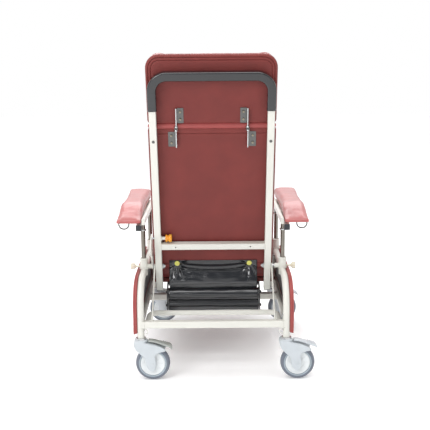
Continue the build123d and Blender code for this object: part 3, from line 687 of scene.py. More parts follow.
def wrapped_board(name, box, radii, matrix, body, replaced, rows=(0.010, 0.020), roll=0.0008,
                  material=RED_BOARD, seed=0.0, thread=THREAD, open_low=False):
    """A board covered in vinyl, hemmed with two sewn rows; its free face looks along -z."""
    (x0, x1), (y0, y1), (z0, z1) = box
    thick = z1 - z0

    def outline(inset):
        return round_rect(x0, x1, y0, y1, radii[0], radii[1], inset)

    heights = [(0.003, thick), (0.0008, thick), (0.0, thick - 0.002), (0.0, 0.0055), (0.0009, 0.0024),
               (0.0026, 0.0006), (0.005, -roll)]
    for i, row in enumerate(rows):
        before = (rows[i - 1] if i else 0.004)
        middle = (before + row) / 2
        heights += [(middle, -roll * 1.6), (row - 0.0016, -roll * 0.6), (row - 0.0006, 0.0007),
                    (row, 0.0012), (row + 0.0006, 0.0007), (row + 0.0016, -roll * 0.6)]
    heights += [(rows[-1] + 0.006, -roll * 0.4), (rows[-1] + 0.014, 0.0), (rows[-1] + 0.026, 0.0)]
    rings = slab_rings(outline, heights)
    cx = (x0 + x1) / 2
    cy = (y0 + y1) / 2
    last = rings[-1]
    for k in (0.9, 0.78, 0.64, 0.5, 0.36, 0.22, 0.1):
        rings.append([(cx + (p[0] - cx) * k, cy + (p[1] - cy) * k, p[2]) for p in last])
    shape = Shape().loft(rings)
    for i, v in enumerate(shape.verts):
        if v.z > 0.004:
            continue
        d = min(v.x - x0, x1 - v.x, v.y - y0, y1 - v.y)
        puff = noise.fractal(Vector((v.x * 11 + seed, v.y * 11, 0)), 0.8, 2.0, 2) * 0.0006
        dx = abs(v.x - cx) - (x1 - x0) / 2
        dy = abs(v.y - cy) - (y1 - y0) / 2
        corner = max(0.0, 1 - (math.hypot(dx, dy) / 0.06))
        angle = math.atan2(dy + 0.05, dx + 0.05)
        pucker = math.sin(angle * 34 + v.x * 60) * 0.0011 * corner * min(1.0, d / 0.006)
        if open_low and 0.003 < v.y - y0 < 0.03:
            v.z *= max(0.0, min(1.0, (abs(v.x - cx) - (x1 - x0) / 2 + 0.05) / 0.03))
        shape.verts[i] = Vector((v.x, v.y, v.z + (puff if d > 0.004 else 0) + pucker))
    for i, v in enumerate(shape.verts):
        shape.verts[i] = Vector((v.x, v.y, v.z + z0))
    shape.moved(matrix)
    obj = piece(name, shape, material, body, replaced, sharp=0)
    threads = Shape()
    rise = matrix.to_3x3() @ Vector((0, 0, -1))
    for row in rows:
        loop = outline(row)
        if open_low:
            first = 1 + max(i for i, (x, y) in enumerate(loop) if y < y0 + 0.03)
            loop = [(x, y) for x, y in loop[first:] + loop[:first] if y >= y0 + 0.03]
        path = [matrix @ Vector((x, y, z0 + 0.0008)) for x, y in loop]
        stitch_row(threads, path, rise, closed=not open_low)
    piece(name + "_stitches", threads, thread, body, sharp=0)
    return obj


# ---------------------------------------------------------------- the back and the headrest
BOARD_N = (0.016, 0.031)
HALF = 0.227
SEAM = 0.562
BACK_TOP = SEAM - 0.0075
wedge = math.tan(math.radians(12.5))
wrapped_board(
    "headrest_back_panel", ((-HALF, HALF), (SEAM + 0.0005, 0.808), BOARD_N), (0.014, 0.048), BACK,
    "headrest", ["headrest_board"], seed=2.0, open_low=True,
)
wrapped_board(
    "back_rear_panel", ((-HALF, HALF), (-0.021, BACK_TOP - 0.006), BOARD_N), (0.012, 0.012), BACK,
    "back", ["back_board"], rows=(0.022,), roll=0.0006, seed=5.0,
)
cushion(
    "headrest_pad", ((-HALF, HALF), (SEAM + 0.001, 0.807), (0.0312, 0.0905)), (0.02, 0.048), BACK,
    "headrest", ["headrest_cushion"], ends=(wedge + 0.05, 0.0), cap=0.02, seed=4.0, voxel=0.0055,
    start_in=0.003,
)
cushion(
    "back_pad", ((-HALF, HALF), (0.058, BACK_TOP - 0.001), (0.0312, 0.0905)), (0.02, 0.02), BACK,
    "back", ["back_cushion"], ends=(0.0, -wedge - 0.05), cap=0.024, seed=9.0, voxel=0.0065,
    start_in=0.003,
)


def top_roll():
    """The soft roll that closes the gap between the back and the headrest."""
    stations = 100
    rings = []
    for i in range(stations + 1):
        x = (-1 + 2 * i / stations) * (HALF - 0.001)
        end = max(0.0, (abs(x) - HALF + 0.012) / 0.011)
        swell = 1 + 0.06 * noise.fractal(Vector((x * 16, 2.3, 0)), 0.8, 2.0, 3)
        size = swell * math.sqrt(max(0.04, 1 - end * end * 0.9))
        ring = []
        for k in range(24):
            a = 2 * math.pi * k / 24
            height = 0.5540 + 0.0104 * size * math.cos(a)
            ring.append(BACK @ Vector((x, height, 0.0212 + 0.0108 * size * math.sin(a))))
        rings.append(ring)
    obj = piece("back_top_roll", Shape().loft(rings), RED, "back", sharp=0)
    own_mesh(obj)


top_roll()

# ---------------------------------------------------------------- the seat and the leg-rest
seat_low, seat_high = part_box("seat_cushion")
SEAT = Matrix.Identity(4)
cushion(
    "seat_pad", ((seat_low[0], seat_high[0]), (seat_low[1], seat_high[1]), (seat_low[2], seat_high[2])),
    (0.035, 0.02), SEAT, "seat", ["seat_cushion"], cap=0.022, voxel=0.0075, seed=14.0,
)
board_low, board_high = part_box("seat_board")
wrapped_board(
    "seat_under_panel",
    ((board_low[0], board_high[0]), (board_low[1], board_high[1]), (board_low[2], board_high[2])),
    (0.03, 0.02), SEAT, "seat", ["seat_board"], rows=(0.02,), seed=17.0,
)
leg_low, leg_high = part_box("legrest_board")
pad_low, pad_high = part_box("legrest_pad")
# across, up, and out of its front towards -Y
LEG = Matrix(((1, 0, 0, 0), (0, 0, -1, leg_high[1]), (0, 1, 0, 0), (0, 0, 0, 1)))
wrapped_board(
    "legrest_back_panel",
    ((leg_low[0], leg_high[0]), (leg_low[2], leg_high[2]), (0.0, leg_high[1] - leg_low[1])),
    (0.02, 0.012), LEG, "legrest", ["legrest_board"], rows=(0.016,), seed=21.0,
)
cushion(
    "legrest_cushion",
    ((pad_low[0], pad_high[0]), (pad_low[2], pad_high[2]),
     (leg_high[1] - pad_high[1], leg_high[1] - pad_low[1])),
    (0.024, 0.02), LEG, "legrest", ["legrest_pad"], cap=0.010, voxel=0.006, seed=24.0,
)
# the folded footplate presses into the leg cushion; here the cushion and its piping only get meshes of their
# own
for name in ("legrest_cushion", "legrest_cushion_piping"):
    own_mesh(bpy.data.objects[name])

# ---------------------------------------------------------------- armrests
def arm_pad(side_name, side):
    low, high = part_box(f"arm_pad_{side_name}")
    inner = 0.2655
    outer = 0.3655
    rear = high[1]
    front = low[1]
    bend = 0.126
    stations = []
    for i in range(61):
        y = rear + (front - rear) * i / 60
        slope = max(0.0, min(1.0, (y - bend) / (rear - bend)))
        lift = slope * slope * (3 - 2 * slope) * 0.5 + slope * 0.5
        top = 0.599 - 0.036 * lift
        bottom = 0.5585 - 0.012 * lift
        near_end = min(y - front, rear - y)
        tuck = 0.004 * max(0.0, 1 - near_end / 0.012) ** 2
        stations.append((y, bottom, top, tuck))
    rings = []
    for y, bottom, top, tuck in stations:
        ring = []
        for px, pz in round_rect(
            inner + 0.002 + tuck, outer - 0.002 - tuck, bottom + 0.001 + tuck * 0.6, top - 0.003 - tuck * 0.8,
            0.008, 0.011, 0.0, 6, 0.012,
        ):
            ring.append((side * px, y + (0.001 if y < 0 else -0.001), pz))
        rings.append(ring)
    mesh = voxel_mesh(Shape().loft(rings), 0.005)
    inflate(mesh, lambda c: c[:, 2] < 0.553, 0.008, (0.7, 0.4, 1), pressure=4.0)
    relax(mesh, 3)
    tree = surface_of(mesh)
    starts = []
    for x, y in round_rect(inner, outer, front, rear, 0.012, 0.012, 0.0, 6, 0.01):
        middle = Vector(((inner + outer) / 2, min(max(y, front + 0.04), rear - 0.04)))
        out = Vector((x, y)) - middle
        out.normalize()
        level = 0.575 - max(0.0, min(1.0, (y - bend) / (rear - bend))) * 0.022
        start = Vector((side * (x + out.x * 0.05), y + out.y * 0.05, level - 0.05 * 0.35))
        starts.append((start, (-side * out.x, -out.y, 0.12)))
    seam = welt_path(tree, starts)
    pinch(mesh, seam, 0.0016, 0.005)
    wrinkle(mesh, 0.0012, 12.0, seed=30.0 + side)
    obj = piece(f"armrest_pad_{side_name}", mesh, RED_ARM_PAINTED_SHEEN, f"arm_{side_name}",
                [f"arm_pad_{side_name}"], sharp=0, smooth=1)
    pipes = Shape().tube(seam, 0.0024, 8, closed=True)
    piece(f"armrest_pad_{side_name}_piping", pipes, RED_ARM_PAINTED_SHEEN, f"arm_{side_name}", sharp=0)
    # collars where the posts meet the square tube
    trim = Shape()
    for y in POST_YS:
        trim.lathe([(0.0086, -0.004), (0.0128, -0.004), (0.0134, -0.002), (0.0128, 0.0), (0.0086, 0.0)],
                   (side * TRACK, y, 0.521), (0, 0, 1), 28, True)
    piece(f"arm_trim_{side_name}", trim, STEEL, f"arm_{side_name}")


for side_name, side in SIDES:
    arm_pad(side_name, side)


# ---------------------------------------------------------------- side panels
def arch(grow, low=0.175, n_arc=22):
    """Outline of the side panels in the (y, z) view, anticlockwise seen from +X."""
    rear = REAR_Y + grow
    front = FRONT_Y - grow
    top = RAIL_Z + grow
    bend = 0.110 + grow
    low = low - grow + 0.007
    points = []
    count_x = 50
    for i in range(count_x):
        points.append((front + (rear - front) * i / count_x, low))
    count_z = 10
    for i in range(count_z):
        points.append((rear, low + (top - bend - low) * i / count_z))
    for i in range(n_arc):
        a = math.radians(90 * i / n_arc)
        points.append((rear - bend + bend * math.cos(a), top - bend + bend * math.sin(a)))
    for i in range(count_x - 14):
        points.append((rear - bend + (front - rear + 2 * bend) * i / (count_x - 14), top))
    for i in range(n_arc):
        a = math.radians(90 + 90 * i / n_arc)
        points.append((front + bend + bend * math.cos(a), top - bend + bend * math.sin(a)))
    for i in range(count_z):
        points.append((front, top - bend + (low - top + bend) * i / count_z))
    return points


def side_panel(side_name, side):
    near = 0.2767
    far = 0.2910
    body_heights = [
        (-0.004, near + 0.0002), (-0.001, near), (0.0005, near + 0.003), (0.0007, far - 0.006),
        (0.0, far - 0.003), (-0.0025, far - 0.0008), (-0.006, far + 0.0004), (-0.011, far - 0.0001),
        (-0.0125, far - 0.0016), (-0.014, far - 0.0002), (-0.019, far + 0.0006), (-0.027, far + 0.0008),
        (-0.040, far + 0.0010),
    ]
    rings = [[(side * x, y, z) for y, z in arch(0.007 + grow)] for grow, x in body_heights]
    last = rings[-1]
    cy, cz = 0.113, 0.262
    for k in (0.8, 0.6, 0.4, 0.2):
        rings.append([
            (x + side * 0.0004 * (1 - k), cy + (y - cy) * k, cz + (z - cz) * k) for x, y, z in last
        ])
    shape = Shape().loft(rings)
    for i, v in enumerate(shape.verts):
        if abs(v.x) > far - 0.002:
            shape.verts[i] = v + Vector((side * 0.0005 * noise.fractal(v * 14, 0.8, 2.0, 2), 0, 0))
    piece(f"side_panel_cover_{side_name}", shape, RED, "base",
          [f"side_panel_{side_name}"], sharp=0)
    trim = Shape()
    stitch_row(trim, [Vector((side * (far - 0.001), y, z)) for y, z in arch(0.007 - 0.0125)], (side, 0, 0))
    piece(f"side_panel_stitches_{side_name}", trim, THREAD, "base", sharp=0)
    edge = [Vector((side * (far - 0.0035), y, z)) for y, z in arch(0.0076)]
    pipe = Shape().tube(edge, 0.0022, 8, closed=True)
    piece(f"side_panel_piping_{side_name}", pipe, RED, "base", sharp=0)
    # bolts that hold the panel to the tube, seen on the inner side
    bolts = Shape()
    spots = [(y, z) for y in (REAR_Y, FRONT_Y) for z in (0.19, 0.24)] + [(0.18, RAIL_Z), (0.02, RAIL_Z)]
    for y, z in spots:
        bolts.lathe([(0.0045, 0.0), (0.0058, 0.0008), (0.0056, 0.0022), (0.0035, 0.0034), (0.0018, 0.0036),
                     (0.0016, 0.0022)], (side * 0.2517, y, z), (-side, 0, 0), 20)
    piece(f"panel_bolts_{side_name}", bolts, STEEL, "base")


for side_name, side in SIDES:
    side_panel(side_name, side)


# ---------------------------------------------------------------- black flap and guard
flap_w = 0.1675


def flap_point(u, v):
    """u runs from -1 to 1 across and v from 0 at the top edge to 1 at the hem."""
    x = u * flap_w
    edge = abs(u)
    # the centre line, down the board and then hanging
    line_top = BACK @ Vector((0, 0.0165, 0.0136))
    line_wash = BACK @ Vector((0, 0.000, 0.0134))
    keys = [line_top, line_wash, Vector((0, 0.2445, 0.357)), Vector((0, 0.253, 0.335)),
            Vector((0, 0.2590, 0.316)), Vector((0, 0.2575, 0.300)), Vector((0, 0.2512, 0.2872))]
    at = v * (len(keys) - 1)
    i = min(int(at), len(keys) - 2)
    t = at - i
    p0, p1, p2, p3 = (keys[min(max(i + k, 0), len(keys) - 1)] for k in (-1, 0, 1, 2))
    p = 0.5 * (2 * p1 + (p2 - p0) * t + (2 * p0 - 5 * p1 + 4 * p2 - p3) * t * t
               + (3 * p1 - p0 - 3 * p2 + p3) * t * t * t)
    out = 0.0
    # the pocket that sags between the two washers
    sag = 0.235 + 0.085 * (1 - (x / WASHER_X) ** 2)
    if edge < 0.9:
        fade = min(1.0, (0.9 - edge) / 0.12)
        out += fade * (0.0085 * math.exp(-((v - sag + 0.060) / 0.055) ** 2)
                       - 0.0050 * math.exp(-((v - sag - 0.014) / 0.022) ** 2))
    # creases that run from each washer, which pins the sheet flat
    pinned = 1.0
    for side in (1, -1):
        dx = x - side * WASHER_X
        dz = (v - 0.126) * 0.11
        far = math.hypot(dx, dz)
        pinned *= max(0.0, min(1.0, (far - 0.0105) / 0.008))
        angle = math.atan2(dz, dx)
        size = 0.0036 if side > 0 else 0.0018
        out += size * math.sin(angle * 9 + side) * math.exp(-((far - 0.026) / 0.018) ** 2)
    # long soft waves lower down
    low = max(0.0, v - 0.45) / 0.55
    out += 0.0022 * low * math.sin(x * 21 + v * 5 + 0.8)
    out += 0.0011 * noise.noise(Vector((x * 26, v * 9, 3.7))) * min(1.0, v * 3)
    if v < 0.2:
        out = max(out, 0.0)
    out *= pinned
    p = p + Vector((x, 0.85 * out, 0.45 * out))
    p.z -= 0.004 * low * (0.5 + 0.5 * math.cos(x * 24 + 1.2))
    return p


def flap_sheet():
    across, down = 110, 90
    grid = [[flap_point(-1 + 2 * i / across, j / down) for i in range(across + 1)] for j in range(down + 1)]
    shape = Shape()
    thickness = 0.0008
    for row in grid:
        shape.verts.extend(row)
    width = across + 1
    for j in range(down):
        for i in range(across):
            a = j * width + i
            shape.faces.append((a, a + 1, a + 1 + width, a + width))
    mesh = mesh_from("seat_gap_flap", shape)
    obj = piece("seat_gap_flap", mesh, BLACK_VINYL, None, ["flap_top", "flap_skirt"], sharp=0)
    thick = obj.modifiers.new("Thickness", "SOLIDIFY")
    thick.thickness = thickness
    thick.offset = 0
    graph = bpy.context.evaluated_depsgraph_get()
    solid = bpy.data.meshes.new_from_object(obj.evaluated_get(graph))
    obj.modifiers.clear()
    obj.data = solid
    area = 0.0
    for j in range(down):
        for i in range(across):
            a, b, c, d = grid[j][i], grid[j][i + 1], grid[j + 1][i + 1], grid[j + 1][i]
            area += ((b - a).cross(c - a)).length / 2 + ((c - a).cross(d - a)).length / 2
    length = area / (2 * flap_w)
    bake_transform(obj)
    return obj, length


flap, flap_length = flap_sheet()


def guard():
    low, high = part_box("guard_pad")
    half = (high[0] - low[0]) / 2
    # a round roll on top and a flatter one below it, seen along X in millimetres
    profile = [
        (233, 283.5), (244, 286.5), (257, 282.5), (266.5, 272), (268.8, 260), (265, 250), (259, 244),
        (254.5, 239.5), (256, 235), (260, 230), (262, 218), (260.5, 206), (256, 202.4), (240, 202.2),
        (230, 203), (228.2, 212), (228, 230), (225, 242), (220.5, 252), (219.5, 264), (224, 275.5),
    ]
    loop = smooth_loop([(y * MM, z * MM) for y, z in profile], 5)
    rings = []
    stations = 84
    cy, cz = 0.244, 0.245
    for i in range(stations + 1):
        u = -1 + 2 * i / stations
        x = u * (half + 0.0030)
        end = max(0.0, (abs(u) - 0.965) / 0.035)
        ring = []
        for k, (y, z) in enumerate(loop):
            turn = 2 * math.pi * k / len(loop)
            spot = Vector((x * 7, math.cos(turn) * 1.7, math.sin(turn) * 1.7 + 4))
            bump = 0.0013 * noise.fractal(spot, 0.8, 2.0, 3)
            bump += 0.0009 * math.sin(turn * 5 + x * 16) * math.exp(-((abs(u) - 0.9) / 0.08) ** 2)
            scale = 1 - 0.10 * end * end
            dy, dz = (y - cy) * scale, (z - cz) * scale
            size = math.hypot(dy, dz)
            ring.append((x, cy + dy * (1 + bump / size), cz + dz * (1 + bump / size)))
        rings.append(ring)
    for k in (0.7, 0.4, 0.15):
        rings.insert(0, [(x, cy + (y - cy) * k, cz + (z - cz) * k) for x, y, z in rings[0]])
        rings.append([(x, cy + (y - cy) * k, cz + (z - cz) * k) for x, y, z in rings[-1]])
    obj = piece("guard_cover", Shape().loft(rings), BLACK_VINYL, "seat", ["guard_pad"],
                sharp=60)
    trim = Shape()
    for side in (1, -1):
        trim.tube([(side * (half + 0.0008), cy + (y - cy) * 0.985, cz + (z - cz) * 0.985) for y, z in loop],
                  0.0021, 7, closed=True)
    rows = Shape()
    row = [(-0.165 + 0.33 * i / 60, 0.2556, 0.2385) for i in range(61)]
    stitch_row(rows, row, (0, 1, 0), closed=False)
    piece("guard_piping", trim, BLACK_VINYL, "seat", sharp=0)
    piece("guard_stitches", rows, THREAD_BLACK, "seat", sharp=0)


guard()


# ---------------------------------------------------------------- hardware
def back_point(x, s, n):
    return BACK @ Vector((x, s, n))


def cross_screw(shape, at, axis, radius, height):
    """A pan head with a cross recess drawn as a dished centre."""
    shape.lathe([
        (radius, 0.0), (radius, height * 0.35), (radius * 0.86, height * 0.8), (radius * 0.55, height),
        (radius * 0.34, height * 0.98), (radius * 0.26, height * 0.45), (radius * 0.02, height * 0.3),
    ], at, axis, 20)


def hinge_screws():
    for name, body, mid, rows in (
        ("headrest_hinge_screws_upper", "headrest", 0.111, (0.580, 0.607)),
        ("headrest_hinge_screws_lower", "back", 0.144, (0.493, 0.520)),
    ):
        shape = Shape()
        for _, side in SIDES:
            for s in rows:
                cross_screw(shape, back_point(side * mid, s, 0.0118), -OUT, 0.0042, 0.0024)
        piece(name, shape, BRASS, body)
    rods = Shape()
    for _, side in SIDES:
        x = side * 0.1265
        rods.tube([back_point(x, s, 0.0048) for s in (0.478, 0.50, 0.52, 0.543)], 0.0024, 10)
        ball = [(0.0001, -0.0056), (0.0028, -0.0049), (0.0049, -0.0028), (0.0056, 0), (0.0049, 0.0028),
                (0.0028, 0.0049), (0.0001, 0.0056)]
        rods.lathe(ball, back_point(x, 0.541, 0.0052), UP, 18)
    piece("headrest_hinge_rods", rods, STEEL, "back")
    upper = Shape()
    for _, side in SIDES:
        x = side * 0.1255
        upper.tube([back_point(x, s, 0.0046) for s in (0.556, 0.58, 0.60, 0.622)], 0.0024, 10)
        upper.lathe(ball, back_point(x, 0.555, 0.0050), UP, 18)
    piece("headrest_hinge_rods_upper", upper, STEEL, "headrest")


hinge_screws()


def sleeve_trim():
    """Rolled ends where the handle sleeve stops."""
    shape = Shape()
    half = 0.01555
    r = 0.006
    for _, side in SIDES:
        ring = round_rect(-half, half, -half, half, r, r, 0.0, 5, 0.01)
        path = [back_point(side * BACK_TUBE + x, 0.6180, z) for x, z in ring]
        shape.tube(path, 0.0010, 8, closed=True)
    piece("handle_sleeve_ends", shape, RUBBER, "back", sharp=0)


sleeve_trim()


def weld(shape, at, axis, radius, bead=0.0021, lobes=26):
    """A bead of weld round a tube: a ring with small ripples."""
    axis = Vector(axis).normalized()
    side = axis.orthogonal().normalized()
    other = axis.cross(side)
    count = lobes * 4
    path = []
    for k in range(count):
        a = 2 * math.pi * k / count
        path.append(Vector(at) + (side * math.cos(a) + other * math.sin(a)) * (radius + bead * 0.2))
    shape.tube(path, lambda i: bead * (1 + 0.16 * math.sin(2 * math.pi * i / 4)), 7, closed=True)


def base_details():
    welds = Shape()
    for _, side in SIDES:
        for y in (REAR_Y, FRONT_Y):
            weld(welds, (side * TRACK, y - math.copysign(0.0122, y), LOW_Z), (0, 1, 0), 0.0112)
        for y in POST_YS:
            weld(welds, (side * TRACK, y, 0.3705), (0, 0, 1), 0.0146)
            # turned collar with a lip at the top of each post socket
            welds.lathe([(0.0088, 0.0), (0.0152, 0.0), (0.0158, 0.0018), (0.0158, 0.0052), (0.0146, 0.0066),
                         (0.0088, 0.0066)], (side * TRACK, y, 0.4034), (0, 0, 1), 32, True)
        weld(welds, (side * 0.2505, PIVOT_Y, PIVOT_Z), (1, 0, 0), 0.0092)
        weld(welds, (side * 0.240, 0.4212, LOW_Z), (0, 1, 0), 0.0102)
    for y in (REAR_Y, 0.094, FRONT_Y):
        for _, side in SIDES:
            ring = [(side * 0.2515, y + a, LOW_Z + b)
                    for a, b in round_rect(-0.0128, 0.0128, -0.0128, 0.0128, 0.003, 0.003, 0.0, 4, 0.003)]
            welds.tube(ring, lambda i: 0.0019 * (1 + 0.16 * math.sin(i * 1.7)), 7, closed=True)
    piece("frame_welds", welds, CREAM, "base", sharp=0)
    # hooks at the feet of the rear legs
    trim = Shape()
    for _, side in SIDES:
        bends = (
            (252.5, 441, 193), (243, 443, 191), (238.5, 443, 183), (242.5, 443, 175.5), (249.5, 443, 173.5)
        )
        hook = smooth_line([(side * x * MM, y * MM, z * MM) for x, y, z in bends], 6)
        trim.tube(hook, 0.0019, 8)
    piece("leg_hooks", trim, CREAM, "base", sharp=0)
    nuts = Shape()
    for _, side in SIDES:
        # locknut and washer on the pivot bolt's inner end
        nuts.lathe([(0.0001, 0.0), (0.0098, 0.0), (0.0102, 0.0008), (0.0098, 0.0016), (0.0001, 0.0016)],
                   (side * 0.1935, PIVOT_Y, PIVOT_Z), (-side, 0, 0), 28)
        nuts.lathe([(0.0045, 0.0), (0.0048, 0.002), (0.0035, 0.0038), (0.0002, 0.0042)],
                   (side * 0.1858, PIVOT_Y, PIVOT_Z), (-side, 0, 0), 20)
    piece("pivot_nuts", nuts, CREAM, "base")
    bar = Shape()
    for _, side in SIDES:
        ring = [back_point(side * 0.1945, 0.087 + a, b)
                for a, b in round_rect(-0.0128, 0.0128, -0.0128, 0.0128, 0.003, 0.003, 0.0, 4, 0.003)]
        bar.tube(ring, lambda i: 0.0018 * (1 + 0.16 * math.sin(i * 1.7)), 7, closed=True)
    piece("cross_bar_welds", bar, CREAM, "back", sharp=0)
    caps = Shape()
    for _, side in SIDES:
        rings = []
        for depth, shrink in ((0.0, 0.0), (0.0012, 0.0), (0.0026, 0.0012), (0.003, 0.004)):
            outline = round_rect(-0.0123, 0.0123, -0.0123, 0.0123, 0.0025, 0.0025, shrink, 4, 0.005)
            rings.append([back_point(side * BACK_TUBE + x, -0.1000 - depth, z) for x, z in outline])
        caps.loft(rings)
    piece("back_tube_caps", caps, PLUG, "back", sharp=30)


base_details()


def knob_details():
    low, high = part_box("pull_knob")
    mid = [(a + b) / 2 for a, b in zip(low, high)]
    near = high[0]
    knob = Shape()
    knob.lathe([
        (0.0042, 0.0), (0.0112, 0.0), (0.0136, 0.0009), (0.0146, 0.0026), (0.0142, 0.0050), (0.0118, 0.0072),
        (0.0102, 0.0092), (0.0108, 0.0112), (0.0132, 0.0132), (0.0151, 0.0158), (0.0155, 0.0184),
        (0.0147, 0.0212), (0.0121, 0.0233), (0.0070, 0.0243), (0.0002, 0.0245),
    ], (near, mid[1], mid[2]), (-1, 0, 0), 48)
    piece("recline_pull_knob", knob, AMBER, "plunger", ["pull_knob"], sharp=0)
    collar = Shape()
    collar.lathe([(0.0060, 0.0), (0.0092, 0.0), (0.0096, 0.001), (0.0092, 0.003), (0.0066, 0.0036)],
                 (0.19415, mid[1], mid[2]), (-1, 0, 0), 30, True)
    piece("plunger_collar", collar, CREAM, "back")


knob_details()


# ---------------------------------------------------------------- footplate mat
def foot_mat():
    low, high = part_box("footplate")
    top = 0.095
    mat = Shape()
    x0, x1 = low[0] + 0.014, high[0] - 0.014
    y0, y1 = low[1] + 0.010, low[1] + 0.080
    heights = [(0.0, 0.0), (0.0, 0.0012), (0.0006, 0.0018), (0.0016, 0.0020)]
    mat.loft([
        [(x, y, top + h) for x, y in round_rect(x0, x1, y0, y1, 0.01, 0.01, inset)] for inset, h in heights
    ])
    ribs = 11
    for i in range(ribs):
        y = y0 + 0.008 + (y1 - y0 - 0.016) * i / (ribs - 1)
        mat.tube([(x0 + 0.010, y, top + 0.0016), (x0 + 0.012, y, top + 0.0021), (x1 - 0.012, y, top + 0.0021),
                  (x1 - 0.010, y, top + 0.0016)], 0.0016, 8)
    piece("footplate_mat", mat, PLUG, "footrest", sharp=40)


foot_mat()


# ---------------------------------------------------------------- casters
# Outlines in millimetres: behind the stem's axis, and up from the floor.
SIDE_VIEW = [
    (-20, 151), (-24, 144), (-25, 136), (-23, 127), (-18, 118), (-10, 109), (-2, 101), (6, 93), (13, 85),
    (16.5, 74), (17.5, 62), (23, 48), (31, 38.5), (40, 35.5), (48, 40), (53, 51), (54.5, 66), (52.5, 80),
    (51, 91), (53, 98), (60, 103.5), (72, 108.5), (85, 111), (89.5, 115), (86.5, 119.5), (76, 125.5),
    (65, 130.2), (48, 135.8), (28, 140), (14, 144), (0, 149), (-10, 151.5),
]
BRIDGE = [
    (-23.5, 148), (-24.6, 138), (-21.5, 129), (0, 129), (30, 130), (55, 127), (70, 121.5), (81.5, 115.5),
    (86.5, 116.5), (84.5, 118.8), (75.5, 124.6), (65, 129.2), (48, 135.2), (28, 139.2), (14, 143.2),
    (0, 148.2), (-12, 150.6),
]
LEVER = [(26.5, 147.8), (44, 145.8), (62, 141), (80, 135.5), (95, 130.5), (106, 126.2), (112.5, 118)]


